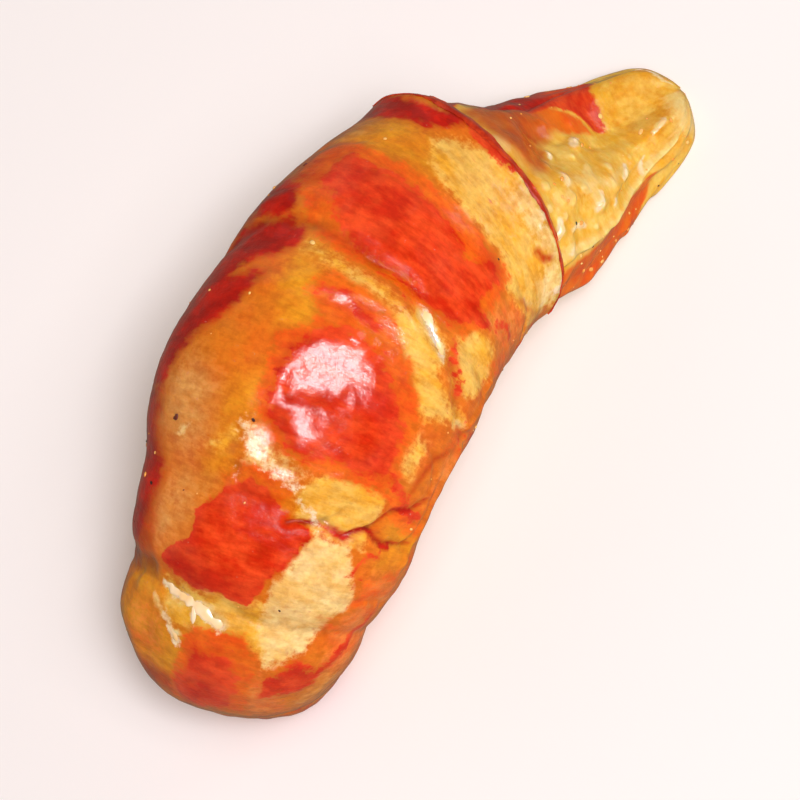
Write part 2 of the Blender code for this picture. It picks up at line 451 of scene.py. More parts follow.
PRESSED_WAY = np.array(Vector((-0.085, -0.435, 0.897)).normalized())    # the pressed places face this way
FACETS = (
    Facet(31.1, 92.3, 1.35, 1.55, -23.0, 0.92),
    Facet(29.9, 87.2, 1.00, 0.76, 0.0, 0.92, True),
    Facet(28.35, 89.4, 1.05, 0.64, 0.0, 0.90),
    Facet(26.9, 80.0, 1.3, 0.85, 30.0, 0.85),
    Facet(26.1, 90.0, 0.7, 0.5, 60.0, 0.85),
    Facet(25.3, 74.0, 0.5, 0.3),
    Facet(34.9, 116.5, 0.36, 1.05, 33.0),
    Facet(31.8, 150.0, 0.35, 0.4),
    Facet(44.6, 150.0, 0.4, 0.45),
    Facet(50.5, 99.0, 0.30, 0.30, 0.0, 0.6),
    Facet(53.5, 99.0, 0.50, 0.36, 20.0, 0.7),
    Facet(49.4, 114.7, 0.36, 0.34, 0.0, 0.6),
    Facet(51.2, 137.2, 0.42, 0.50, 10.0, 0.7),
    Facet(55.7, 135.0, 0.45, 0.45, 0.0, 0.7),
    Facet(60.3, 119.3, 0.34, 0.40, 0.0, 0.6),
    Facet(46.9, 136.0, 0.34, 0.40, 0.0, 0.7),
    Facet(48.7, 143.5, 0.60, 0.28, 0.0, 0.7),
)


def distance_to_path(along: np.ndarray, degrees: np.ndarray, path: Path) -> np.ndarray:
    """Distance over the skin from each place to a line.

    Args:
        along: millimetres along the spine.
        degrees: degrees around it.
        path: the line's places.

    Returns:
        Millimetres.
    """
    nearest = np.full(along.shape, np.inf)
    x, y = along, degrees * DEGREE_WIDTH
    for (s0, d0), (s1, d1) in zip(path, path[1:]):
        y0, y1 = d0 * DEGREE_WIDTH, d1 * DEGREE_WIDTH
        run, rise = s1 - s0, y1 - y0
        share = unit(((x - s0) * run + (y - y0) * rise) / (run**2 + rise**2))
        nearest = np.minimum(nearest, np.hypot(x - s0 - share * run, y - y0 - share * rise))
    return nearest


def grooves(spots: Spots, edges: tuple[Edge, ...], width: float) -> np.ndarray:
    """Depth of the grooves where segments meet.

    Args:
        spots: places on the tail.
        edges: the lines that count.
        width: half width of a groove.

    Returns:
        Millimetres.
    """
    rise = unit(spots.sine)
    return sum(edge.depth * bump(spots.along - edge.at - edge.bow * rise, width) for edge in edges)


@dataclass
class TailForm:
    """The surface of the tail, as a function of the place along the spine and the angle around it.

    Sizes are in millimetres. A fade is where something sets in: along the spine, or in the height share of
    a place, which is -1 at the belly and 1 at the back. lobe_side is the side share where the side lobes
    stand, and how wide they are in it. The barrel ends at ring, and the bare neck begins there.
    """

    barrel_width: float = 17.0
    back_height: float = 6.3
    belly_depth: float = 5.1
    side_roundness: float = 0.9
    belly_roundness: float = 0.8
    back_gain: float = 0.15
    back_fade: Range = (-0.3, 0.3)
    tip_fade: Range = (3.0, 12.0)
    ring: float = 45.2
    neck_step: float = 0.9
    fray_start: float = 51.0
    groove_width: float = 0.9
    swell_height: float = 0.28
    swell_reach: float = 0.3
    lip_height: float = 0.55
    lip_setback: float = 0.2
    lip_width: float = 1.2
    lobe_height: float = 0.7
    lobe_level: float = 0.45
    lobe_side: Range = (0.88, 0.15)
    lobe_fade: Range = (-0.3, 0.1)
    channel_depth: float = 0.7
    channel_width: float = 0.22
    channel_fade: Range = (6.0, 16.0)
    belly_ridge: float = 0.3
    lump_height: float = 0.16
    strand_depth: float = 0.3
    blob_count: int = 150
    blob_seed: int = 3
    blob_widths: Range = (0.28, 0.70)
    blob_heights: Range = (-0.14, 0.18)
    blob_length: float = 1.35
    blob_girth: float = 0.6
    fray_length: float = 2.6
    fray_calm: float = 4.0
    fork_length: float = 1.6
    fork_reach: float = 5.0
    end_closing: float = 0.97
    closing_length: float = 1.0
    rest_pitch: float = -0.9
    cad_rings: int = 100
    cad_sides: int = 44
    spine_steps: int = 1200
    wobble: Uneven = Uneven(0.35, 2.6, 1)
    twisting: Uneven = Uneven(math.radians(2.2), 3.4, 2)
    wrinkles: Uneven = Uneven(0.016, (0.9, 1.4, 1.4), 3)
    puckers: Uneven = Uneven(0.07, (2.4, 2.6, 2.6), 4)
    belly_lines: Uneven = Uneven(0.05, (0.8, 1.6, 1.6), 8)
    fibre_height: float = 0.03
    fibres: Uneven = Uneven(1.6, (6.0, 1.1, 1.1), 5)
    knots: Uneven = Uneven(0.28, (2.8, 2.2, 2.2), 6, 1)
    pressed_edges: tuple[Uneven, Uneven] = (Uneven(0.34, 1.3, 41), Uneven(0.30, 0.45, 42))

    @cached_property
    def length(self) -> float:
        """Length of the spine."""
        return STATIONS[-1].at

    @cached_property
    def placing(self) -> np.ndarray:
        """Fit the turned form to the CAD solid's own box.

        Returns:
            The move that lays it there, in millimetres.
        """
        along, angle = np.meshgrid(
            np.linspace(0.0, self.length, self.cad_rings + 1),
            np.linspace(0.0, 2 * math.pi, self.cad_sides + 1),
        )
        raw = self.turned(Spots(along.ravel(), angle.ravel()))
        low, high = (np.array(corner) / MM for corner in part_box(MEAT_NODE))
        top = raw[:, 2].max()
        above = raw[raw[:, 2] > top - (high[2] - low[2])]
        move = 0.5 * (low + high) - 0.5 * (above.min(axis=0) + above.max(axis=0))
        move[2] = high[2] - top
        return move

    @staticmethod
    def through(name: str, along: np.ndarray) -> np.ndarray:
        """Follow one station field on a smooth curve through them all.

        Args:
            name: the field.
            along: millimetres along the spine.

        Returns:
            Its value at each place.
        """
        places = np.array([station.at for station in STATIONS])
        values = np.array([getattr(station, name) for station in STATIONS], dtype=float)
        slopes = np.gradient(values, places)
        left = np.clip(np.searchsorted(places, along) - 1, 0, len(places) - 2)
        gap = places[left + 1] - places[left]
        t = (along - places[left]) / gap
        return (
            (2 * t**3 - 3 * t**2 + 1) * values[left]
            + (t**3 - 2 * t**2 + t) * gap * slopes[left]
            + (3 * t**2 - 2 * t**3) * values[left + 1]
            + (t**3 - t**2) * gap * slopes[left + 1]
        )

    @cached_property
    def spine(self) -> tuple[np.ndarray, ...]:
        """Walk along the stations' directions.

        Returns:
            Places along the spine with its middle points, left directions and back directions.
        """
        fine = np.linspace(0.0, self.length, self.spine_steps)
        climb, lean, twist = (np.radians(self.through(name, fine)) for name in ("climb", "lean", "twist"))
        level = np.cos(lean)
        forward = np.stack([np.cos(climb) * level, np.sin(lean), np.sin(climb) * level], axis=1)
        steps = 0.5 * (forward[1:] + forward[:-1]) * (fine[1] - fine[0])
        middle = np.vstack([np.zeros(3), np.cumsum(steps, axis=0)])
        upright = np.stack([-np.sin(climb), np.zeros_like(fine), np.cos(climb)], axis=1)
        across = np.cross(upright, forward)
        left = across * np.cos(twist)[:, None] + upright * np.sin(twist)[:, None]
        back = upright * np.cos(twist)[:, None] - across * np.sin(twist)[:, None]
        return fine, middle, left, back

    def segment_share(self, spots: Spots) -> np.ndarray:
        """How far through its own segment each place is.

        Args:
            spots: places on the tail.

        Returns:
            From 0 at the segment's rear edge to 1 at its front edge.
        """
        rise = unit(spots.sine)
        edges = (edge.at + edge.bow * rise for edge in EDGES)
        bounds = [np.zeros_like(rise), *edges, np.full_like(rise, self.ring)]
        return sum(unit((spots.along - low) / (high - low)) for low, high in zip(bounds, bounds[1:])) % 1.0

    def segment_relief(self, spots: Spots) -> np.ndarray:
        """Swollen segments, the grooves between them, their side lobes and the belly bars.

        Args:
            spots: places on the tail.

        Returns:
            Rise of the surface in millimetres.
        """
        share = self.segment_share(spots)
        swell = np.sin(np.pi * share)
        place, width = self.lobe_side
        side = bump(np.abs(spots.cosine) - place, width) * (1.0 - ramp(spots.sine, *self.lobe_fade))
        from_tip = ramp(spots.along, *self.tip_fade)
        swollen = self.swell_height * swell - grooves(spots, EDGES, self.groove_width)
        return (
            swollen * unit(spots.sine + self.swell_reach)
            + self.lobe_height * (swell**2 - self.lobe_level) * side * from_tip
            - self.belly_ridge * np.cos(2 * np.pi * share) * unit(-spots.sine) ** 2 * from_tip
        )

    def lumps(self, spots: Spots) -> np.ndarray:
        """Slow, uneven swellings of the meat: two waves that wind round it and never fall together.

        Args:
            spots: places on the tail.

        Returns:
            Rise of the surface in millimetres.
        """
        first = np.sin(0.42 * spots.along + 1.3 * spots.cosine + 0.4)
        second = np.sin(0.71 * spots.along - 2.0 * np.sin(spots.angle + 0.8) + 1.9)
        return self.lump_height * (first + 0.7 * second)

    def rough_rise(self, spots: Spots) -> np.ndarray:
        """Relief that the CAD solid has too.

        Args:
            spots: places on the tail.

        Returns:
            Rise of the surface in millimetres.
        """
        along, angle, sine = spots.along, spots.angle, spots.sine
        barrel = 1.0 - ramp(along, self.ring, self.ring + self.neck_step)
        lip_shape = bump(along - self.ring + self.lip_setback, self.lip_width)
        lip = self.lip_height * lip_shape * unit(sine + 0.5)
        channel = bump(spots.cosine, self.channel_width) * unit(-sine) * ramp(along, *self.channel_fade)
        strands = np.cos(5 * angle + 0.6) + 0.5 * np.cos(8 * angle + 2.1)
        fray = self.strand_depth * ramp(along, self.ring, self.fray_start) * strands
        segments = (self.segment_relief(spots) + lip) * barrel
        return segments + self.lumps(spots) - self.channel_depth * channel + fray

    def turned(self, spots: Spots, rise: np.ndarray | float = 0.0) -> np.ndarray:
        """Points on the tail in millimetres, turned to its resting pose but not yet placed.

        Args:
            spots: places on the tail.
            rise: how far each point stands above the rough form.

        Returns:
            The points, as rows.
        """
        along, angle, cosine, sine = spots.along, spots.angle, spots.cosine, spots.sine
        width = 0.5 * self.barrel_width * self.through("width", along)
        back = self.back_height * self.through("back", along)
        belly = self.belly_depth * self.through("belly", along)
        sideways = np.sign(cosine) * np.abs(cosine) ** self.side_roundness * width
        upper = ramp(sine, *self.back_fade)
        height = upper * back + (1.0 - upper) * belly
        upward = np.sign(sine) * height * np.abs(sine) ** (self.belly_roundness + self.back_gain * upper)
        reach = np.hypot(sideways, upward)
        scale = 1.0 + (self.rough_rise(spots) + rise) * ramp(reach, 0.5, 2.5) / reach
        last = unit((along - self.length + self.closing_length) / self.closing_length)
        scale *= np.sqrt(1.0 - self.end_closing * last**2)

        tear = 0.5 + 0.32 * np.cos(3 * angle + 0.9) + 0.18 * np.cos(5 * angle - 0.4)
        calm = 1.0 - 0.95 * ramp(along, self.length - self.fray_calm, self.length)
        pulled_neck = ramp(along, self.fray_start, self.length) * self.fray_length * tear * calm
        fork = self.fork_length * (1.0 - np.abs(cosine) ** 0.7)
        places = along - pulled_neck + (1.0 - ramp(along, 0.0, self.fork_reach)) * fork

        fine, *parts = self.spine
        middle, left, back_way = (
            np.stack([np.interp(places, fine, part[:, axis]) for axis in range(3)], axis=1)
            for part in parts
        )
        points = middle + left * (sideways * scale)[:, None] + back_way * (upward * scale)[:, None]
        return points @ np.array(Matrix.Rotation(math.radians(self.rest_pitch), 3, "Y")).T

    def points(self, spots: Spots, rise: np.ndarray | float = 0.0) -> np.ndarray:
        """Points on the tail in metres, in the CAD frame."""
        return (self.turned(spots, rise) + self.placing) * MM

    def pressed(self, points: np.ndarray, spots: Spots) -> np.ndarray:
        """Move points onto the flat planes of the pressed places.

        Args:
            points: the points in metres, as rows.
            spots: their places on the tail.

        Returns:
            The moved points.
        """
        rag = sum(layer.at(spots.unbent) for layer in self.pressed_edges)
        for facet, plane in self.planes:
            weight = facet.weight(spots, rag)
            points -= (weight * ((points - plane) @ PRESSED_WAY))[:, None] * PRESSED_WAY
        return points

    @cached_property
    def planes(self) -> list[tuple[Facet, np.ndarray]]:
        """Find the height at which each place is pressed flat.

        Returns:
            Each facet with a point in metres that its plane goes through.
        """
        found = []
        for facet in FACETS:
            if not facet.joined:
                spots = facet.inside()
                plane = self.points(spots, self.fine_rise(spots)).mean(axis=0)
            found.append((facet, plane))
        return found

    def surface(self, spots: Spots, rise: np.ndarray | float = 0.0) -> np.ndarray:
        """Points in metres on the finished meat with its fine relief, or a rise in millimetres above it."""
        return self.pressed(self.points(spots, self.fine_rise(spots) + rise), spots)

    def frames(self, spots: Spots) -> tuple[np.ndarray, ...]:
        """Find how the finished meat lies at some places.

        Args:
            spots: places on the tail.

        Returns:
            Points in metres, with the ways along the meat, around it and out of it, as rows.
        """
        middle = self.surface(spots)
        forward = self.surface(spots.shifted(ahead=0.05)) - middle
        round_it = self.surface(spots.shifted(turn=math.radians(0.5))) - middle
        outward = np.cross(forward, round_it)
        ways = [way / np.linalg.norm(way, axis=1, keepdims=True) for way in (forward, round_it, outward)]
        return middle, ways[0], ways[1], ways[2]

    def folds(self, spots: Spots) -> np.ndarray:
        """Ridges and creases along the listed folds.

        Args:
            spots: places on the tail.

        Returns:
            Rise of the surface in millimetres.
        """
        return sum(
            fold.height * bump(distance_to_path(spots.along, spots.degrees, fold.path), fold.width)
            for fold in FOLDS
        )

    def blobs(self, spots: Spots) -> np.ndarray:
        """Small swollen lumps of the torn neck, longer than wide.

        Args:
            spots: places on the tail.

        Returns:
            Rise of the surface in millimetres.
        """
        rng = np.random.default_rng(self.blob_seed)
        degrees = np.degrees(spots.angle)
        total = np.zeros_like(degrees)
        lumps = list(NECK_LUMPS)
        for _ in range(self.blob_count):
            at = self.ring + 1.0 + (self.length - self.ring - 2.0) * rng.uniform() ** 1.5
            around, width = rng.uniform(0.0, 360.0), rng.uniform(*self.blob_widths)
            lumps.append((at, around, width, rng.uniform(*self.blob_heights)))
        for at, around, width, height in lumps:
            aside = ((degrees - around + 180.0) % 360.0 - 180.0) * self.blob_girth * DEGREE_WIDTH
            total += height * bump(spots.along - at, self.blob_length * width) * bump(aside, width)
        return total

    def fine_rise(self, spots: Spots) -> np.ndarray:
        """Relief finer than the CAD solid's: folds, wrinkles, the sharp rim and the fibres of the neck.

        Args:
            spots: places on the tail.

        Returns:
            Rise of the surface in millimetres.
        """
        places, sine = spots.unbent, spots.sine
        wobble = self.wobble.at(places)
        folds = self.folds(spots.shifted(wobble, self.twisting.at(places)))

        edge = spots.along - self.ring
        rim = 0.22 * bump(edge + 0.5 * wobble + 0.25, 0.35) - 0.30 * bump(edge - 1.1, 0.5)
        creases = 0.5 * grooves(spots.shifted(wobble), SHARP_EDGES, 0.3)
        barrel = self.wrinkles.at(places) + self.puckers.at(places) + (rim - creases) * unit(sine + 0.4)
        barrel += self.belly_lines.at(places) * unit(-sine)

        fibres = self.fibre_height * (0.5 - np.abs(self.fibres.at(places)))
        knots = self.knots.at(places) + self.blobs(spots)
        neck = ramp(spots.along, self.ring + 0.6, self.ring + 2.4)
        return folds + barrel * (1 - neck) + (fibres + knots) * neck


# ---------------------------------------------------------------------------
# Colours laid over the meat
# ---------------------------------------------------------------------------
class Tone(Enum):
    """The colours that are laid over the orange meat, in the order they are laid."""

    GOLD = "gold"
    TAN = "tan"
    SALMON = "salmon"
    YELLOW = "yellow"
    CREAM = "cream"
    # brown of the sauce, and painted shade low on the left flank and in creases
    BROWN = "brown"
    ORANGE = "orange"
    RED = "red"
    # the skin's own deep red, and painted shade low on the left flank and in the crack
    DEEP = "deep"
    # painted shadow: a dark line where the lip of the ring overhangs the neck, and in the groove above the
    # rounded end
    LINE = "line"
    # painted highlights: near-white spots and streaks where the wet meat shines
    PALE = "pale"


@dataclass(frozen=True)
class Patch:
    """An area of one tone, bounded by (millimetre, degree) corners.

    soft is the distance in millimetres over which it fades, and amount its strength in the middle.
    """

    corners: Path
    soft: float = 0.5
    amount: float = 1.0

    def field(self, along: np.ndarray, degrees: np.ndarray) -> np.ndarray:
        """Strength of the tone.

        Args:
            along: millimetres along the spine.
            degrees: degrees around it.

        Returns:
            From 0 to amount, for each place.
        """
        x, y = along, degrees * DEGREE_WIDTH
        inside = np.zeros(along.shape, dtype=bool)
        outline = (*self.corners, self.corners[0])
        for (s0, d0), (s1, d1) in zip(outline, outline[1:]):
            y0, y1 = d0 * DEGREE_WIDTH, d1 * DEGREE_WIDTH
            if y0 != y1:
                inside ^= ((y0 > y) != (y1 > y)) & (x < (s1 - s0) * (y - y0) / (y1 - y0) + s0)
        far = distance_to_path(along, degrees, outline)
        return self.amount * unit(0.5 + 0.5 * np.where(inside, far, -far) / self.soft)


@dataclass(frozen=True)
class Streak:
    """A line of one tone along (millimetre, degree) places, half_width millimetres to each side."""

    path: Path
    half_width: float
    soft: float = 0.3
    amount: float = 1.0

    def field(self, along: np.ndarray, degrees: np.ndarray) -> np.ndarray:
        """Strength of the tone at each place, from 0 to amount."""
        depth = self.half_width - distance_to_path(along, degrees, self.path)
        return self.amount * unit(0.5 + 0.5 * depth / self.soft)


MARKS: dict[Tone, tuple[Patch | Streak, ...]] = {
    Tone.GOLD: (
        Patch(((24.8, 60), (25.8, 73), (28.4, 76), (30.4, 74), (29.4, 66), (27.4, 60)), 0.8, 0.9),
        Patch(((31.8, 68), (32.0, 80), (32.8, 84), (33.6, 74), (35.6, 70), (36.6, 58), (34.2, 58)), 0.7),
        Patch(((40.8, 28), (40.8, 60), (41.4, 84), (43.0, 70), (43.2, 46), (42.8, 26)), 0.7),
        Patch(((15.5, 26), (15.7, 70), (18.2, 74), (19.8, 66), (19.9, 30), (18.4, 18)), 0.6),
        Patch(((23.0, 138), (23.4, 172), (25.4, 172), (25.8, 140)), 0.7, 0.8),
        Patch(((36.4, 128), (36.8, 152), (40.2, 156), (40.4, 130)), 1.0, 0.6),
        Patch(((47.6, 120), (48.0, 136), (51.4, 134), (52.0, 118), (49.6, 106)), 0.8, 0.9),
        Patch(((46.8, 60), (47.0, 84), (50.0, 98), (52.0, 90), (50.4, 70), (48.6, 58)), 0.8, 0.9),
        Patch(((57.8, 95), (58.6, 130), (58.8, 190), (62.4, 190), (62.4, 20), (60.0, 30), (59.4, 70)),
               0.8),
        Patch(((58.8, 40), (59.0, 84), (61.6, 80), (61.6, 30)), 0.8),
    ),
    Tone.TAN: (
        Patch(((26.0, 26), (25.4, 48), (26.4, 60), (28.6, 56), (29.4, 42), (28.4, 30)), 1.2, 0.95),
        Patch(((20.8, 42), (22.2, 60), (24.8, 66), (25.2, 46), (23.2, 40)), 0.9, 0.7),
        Patch(((40.0, 24), (41.2, 38), (43.0, 34), (42.6, 20)), 0.8, 0.7),
        Patch(((14.6, 128), (15.0, 148), (16.8, 156), (17.4, 140), (16.2, 128)), 0.8, 0.8),
    ),
    Tone.SALMON: (
        Patch(((17.3, 134), (17.6, 172), (22.6, 174), (22.8, 140), (20.4, 136)), 0.7, 0.9),
        Patch(((15.8, 30), (16.0, 56), (18.2, 60), (18.6, 34)), 0.8, 0.5),
        Patch(((27.4, 130), (27.6, 143), (30.0, 143), (30.4, 130), (29.0, 127)), 0.5, 0.6),
        Patch(((26.4, 156), (27.0, 176), (31.4, 178), (31.4, 160)), 0.6, 0.8),
        Patch(((14.4, 104), (14.6, 128), (16.4, 112), (17.4, 103), (16.2, 97)), 0.6, 0.9),
        Patch(((37.0, 128), (37.2, 160), (40.4, 164), (42.0, 150), (40.4, 138), (39.2, 130)), 0.8, 0.7),
        Patch(((42.0, 158), (42.4, 178), (45.2, 178), (45.2, 164), (43.4, 152)), 0.8, 0.5),
        Patch(((46.2, 118), (46.2, 146), (47.6, 146), (48.2, 128), (47.6, 116)), 0.6, 0.7),
    ),
    Tone.YELLOW: (
        Patch(((41.1, 96), (41.2, 118), (40.2, 130), (40.8, 146), (42.4, 172), (45.2, 172), (45.2, 92),
               (44.4, 84), (43.2, 66), (41.8, 74)), 0.6),
        Patch(((18.2, 60), (18.4, 96), (17.6, 104), (19.0, 112), (20.4, 98), (20.1, 76), (19.9, 52)),
               0.5, 0.9),
        Patch(((24.3, 98), (24.2, 110), (24.0, 132), (26.6, 131), (27.1, 118), (26.8, 103), (25.6, 96)),
               0.4, 0.95),
        Patch(((33.2, 132), (33.4, 150), (35.6, 158), (37.0, 146), (36.8, 130), (35.6, 127)), 0.5, 0.85),
        Streak(((35.6, 60), (35.1, 74), (35.0, 92), (34.4, 106)), 0.56, 0.5, 0.55),
        Streak(((34.4, 104), (33.4, 116), (32.4, 124), (31.6, 131)), 0.66, 0.5),
        Patch(((32.6, 110), (33.2, 122), (34.2, 128), (35.4, 116), (35.6, 104), (34.2, 102)), 0.5, 0.8),
        Streak(((31.4, 129), (31.9, 142), (31.8, 156)), 0.5, 0.5, 0.8),
        Patch(((27.6, 130), (27.8, 141), (29.8, 141), (30.0, 132), (28.8, 129)), 0.5, 0.7),
        Streak(((26.2, 62), (27.0, 70), (27.6, 74)), 0.3, 0.4, 0.6),
    ),
    Tone.CREAM: (
        Patch(((17.6, 104), (18.4, 120), (19.6, 126), (20.7, 130), (21.3, 137), (22.3, 130), (24.0, 124),
               (24.2, 108), (22.3, 101), (21.2, 97), (19.0, 99)), 0.4, 0.95),
        Patch(((42.6, 142), (42.6, 170), (45.2, 170), (45.2, 102), (44.0, 98), (43.4, 110), (44.0, 136)),
               0.7, 0.70),
        Patch(((46.0, 96), (46.2, 130), (47.2, 186), (48.6, 200), (52.0, 186), (57.0, 172), (58.8, 160),
               (58.8, 116), (55.0, 104), (53.8, 92), (50.6, 92)), 1.0, 0.3),
        Streak(((45.4, 150), (49.4, 160), (52.2, 160), (56.0, 154), (60.4, 144)), 0.45, 0.5, 0.95),
        Streak(((50.4, 120), (53.0, 132), (55.8, 132)), 0.5, 0.8, 0.8),
        Patch(((61.3, 96), (60.8, 140), (61.2, 200), (62.4, 200), (62.4, 96)), 0.5, 0.8),
        # the next two streaks are painted highlights on the rounded end
        Streak(((19.1, 86), (19.4, 76), (19.3, 66), (19.6, 54)), 0.2, 0.25, 0.9),
        Streak(((17.9, 68), (18.3, 60), (18.8, 50)), 0.2, 0.3, 0.8),
        Streak(((19.4, 104), (19.9, 112), (19.8, 122)), 0.18, 0.3, 0.9),
        # the next three streaks are painted highlights, on the right flank, the plump rim and the crack
        Streak(((31.8, 158), (31.7, 148)), 0.25, 0.3, 0.8),
        Streak(((34.2, 124), (34.7, 116), (35.3, 108)), 0.3, 0.4, 0.9),
        Streak(((24.4, 106), (25.0, 100)), 0.2, 0.3, 0.7),
        # painted highlight on the back, between the bold patch and the main red patch
        Patch(((25.0, 73), (25.6, 90), (26.4, 98), (27.2, 86), (27.8, 77)), 0.5, 0.6),
        Streak(((41.4, 146), (42.6, 154), (43.4, 164)), 0.2, 0.3, 0.7),
        # painted glint beside a pepper speck
        Streak(((26.2, 44), (26.6, 49)), 0.1, 0.2, 0.8),
        Streak(((44.3, 54), (44.9, 60), (45.2, 64)), 0.2, 0.3, 0.5),
    ),
    # brown: the sauce's own brown, and painted shade: the patches low on the left flank paint the shade
    # that falls there, and the streaks along creases paint shade in them
    Tone.BROWN: (
        Patch(((19.8, -20), (20.1, 36), (20.8, 44), (22.4, 42), (24.6, 34), (27.6, 28), (27.6, -20)),
               0.9, 0.85),
        Patch(((14.2, 40), (14.4, 66), (15.5, 66), (15.5, 40)), 0.4, 0.8),
        Patch(((46.5, 56), (46.7, 84), (47.3, 104), (48.8, 108), (50.6, 98), (50.0, 80), (48.8, 58)),
               0.7, 0.75),
        Patch(((48.2, 56), (48.6, 84), (50.6, 92), (53.0, 88), (53.6, 78), (52.0, 66), (50.0, 56)),
               0.6, 0.8),
        Patch(((37.8, 20), (37.9, 44), (39.4, 48), (40.2, 40), (40.0, 20)), 0.7, 0.7),
        Streak(((19.0, 137), (19.7, 128), (20.4, 121)), 0.15, 0.3, 0.6),
        Streak(((27.4, 142), (28.6, 146), (29.4, 149), (30.0, 155)), 0.26, 0.35, 0.9),
        Streak(((30.6, 158), (30.4, 166)), 0.3, 0.4, 0.7),
        Streak(((30.0, 134), (30.4, 140)), 0.22, 0.3, 0.6),
        Streak(((41.0, 142), (41.5, 150), (42.2, 160)), 0.2, 0.3, 0.7),
        Streak(((43.6, 128), (43.9, 133), (44.3, 135)), 0.22, 0.25, 0.9),
        Streak(((31.3, 71), (31.5, 78)), 0.18, 0.3, 0.7),
        Streak(((27.8, 74), (27.9, 79)), 0.1, 0.2, 0.6),
    ),
    Tone.ORANGE: (
        Patch(((26.8, 100), (26.9, 128), (27.6, 134), (28.6, 128), (30.8, 128), (31.6, 122), (32.8, 112),
               (34.0, 100), (34.7, 88), (34.6, 74), (33.6, 72), (32.9, 82), (31.4, 72), (28.4, 75),
               (27.2, 84)), 0.5),
        Patch(((51.6, 66), (52.2, 84), (54.0, 92), (56.4, 98), (56.4, 84), (54.6, 76), (53.0, 62)),
               0.5, 0.7),
        Streak(((46.2, 92), (46.4, 106), (46.3, 118)), 0.3, 0.5, 0.7),
        Patch(((36.0, 60), (35.8, 90), (35.6, 110), (36.0, 130), (38.2, 132), (40.8, 128), (40.7, 108),
               (40.9, 88), (40.7, 60), (40.7, 30), (39.0, 24)), 0.6),
        Patch(((24.4, 72), (24.6, 92), (25.4, 94), (26.1, 88), (26.0, 76), (25.2, 70)), 0.4),
        Patch(((14.4, 64), (14.6, 100), (17.8, 100), (18.8, 92), (18.4, 74), (16.4, 66)), 0.6),
        Streak(((20.4, 160), (21.6, 148), (21.2, 138)), 0.4, 0.5, 0.8),
        Streak(((22.2, 166), (22.8, 150), (22.2, 138)), 0.3, 0.5, 0.7),
        Streak(((25.4, 172), (25.6, 150), (26.2, 140), (27.0, 132)), 0.5, 0.5, 0.9),
        Patch(((36.0, 152), (36.2, 178), (38.4, 178), (38.2, 156)), 0.7, 0.9),
        Patch(((30.0, 150), (30.2, 176), (33.0, 176), (32.6, 160), (31.2, 150)), 0.6, 0.7),
        Streak(((48.4, 200), (50.2, 188), (52.6, 178), (55.4, 172), (57.4, 168)), 0.75, 0.5, 0.95),
        Patch(((47.0, 168), (50.0, 171), (53.0, 169), (56.5, 164), (57.5, 178), (56.0, 200), (52.0, 216),
               (47.6, 216), (46.0, 190)), 0.7, 0.95),
        Streak(((19.4, 144), (19.7, 136), (20.2, 128)), 0.2, 0.4, 0.7),
        Streak(((40.6, 98), (40.9, 103), (40.7, 108)), 0.2, 0.3, 0.8),
    ),
    Tone.RED: (
        Patch(((36.3, 98), (35.9, 108), (36.0, 124), (37.2, 127), (38.4, 124), (40.2, 126), (40.5, 116),
               (39.3, 108), (39.9, 98), (40.2, 84), (40.1, 64), (40.0, 46), (39.4, 42), (38.4, 44),
               (38.0, 50), (37.7, 56), (36.8, 64), (36.3, 78)), 0.5),
        Patch(((27.2, 104), (27.4, 124), (28.2, 126), (30.2, 125), (30.8, 118), (31.8, 110), (32.6, 101),
               (33.0, 92), (32.6, 84), (31.8, 80), (30.0, 77), (28.2, 79), (27.0, 90)), 0.6, 0.95),
        Streak(((33.4, 96), (34.0, 86), (33.9, 76)), 0.24, 0.4, 0.9),
        Streak(((34.7, 104), (35.6, 96), (35.9, 88)), 0.16, 0.3, 0.7),
        Patch(((20.2, 62), (20.15, 92), (21.6, 96), (22.6, 101), (23.9, 107), (24.2, 103), (24.6, 93),
               (25.4, 87), (25.5, 80), (24.9, 71), (23.3, 63), (22.2, 63), (21.2, 52), (20.6, 50)), 0.22),
        Patch(((14.2, 72), (14.6, 94), (17.0, 95), (17.8, 90), (17.6, 78), (16.6, 73), (15.6, 66)), 0.6),
        Patch(((15.7, 106), (16.0, 122), (16.6, 135), (17.5, 132), (18.2, 118), (17.2, 107)), 0.5, 0.9),
        Patch(((53.6, 50), (53.8, 66), (54.6, 76), (56.4, 82), (56.8, 96), (57.8, 98), (58.4, 88),
               (58.8, 76), (58.4, 56), (57.2, 40), (55.0, 40)), 0.6),
        Patch(((44.5, 96), (45.3, 98), (45.3, 70), (44.4, 76)), 0.3),
        Patch(((32.6, 142), (33.4, 144), (34.8, 131), (35.6, 126), (34.6, 123), (33.4, 131)), 0.4, 0.6),
        Streak(((27.6, 129), (26.7, 140), (26.1, 150), (26.4, 158)), 0.3, 0.4, 0.9),
        Streak(((37.5, 126), (37.5, 134)), 0.32, 0.4, 0.95),
        Streak(((38.2, 140), (38.9, 146), (38.8, 152)), 0.36, 0.5, 0.8),
        Streak(((36.4, 160), (37.2, 168), (37.4, 178)), 0.5, 0.6, 0.8),
        Streak(((32.0, 168), (32.4, 178)), 0.6, 0.6, 0.8),
        Streak(((22.8, 128), (23.8, 134), (23.7, 140)), 0.18, 0.3, 0.8),
        Streak(((17.3, 132), (18.4, 145), (20.2, 156)), 0.35, 0.4, 0.85),
        Streak(((22.0, 131), (22.4, 135)), 0.2, 0.3, 0.7),
        Streak(((17.3, 122), (17.6, 128)), 0.2, 0.3, 0.8),
        Patch(((45.6, -10), (45.6, 52), (47.8, 54), (50.6, 40), (50.6, -10)), 0.6),
        Patch(((48.6, 20), (48.8, 58), (50.6, 68), (52.8, 74), (55.0, 76), (55.8, 60), (55.6, 24)), 0.5),
    ),
    # deep red: the skin's own deep red, and painted shade: the patches low on the left flank paint the
    # shade that falls there, and the lines along the crack paint shade in it
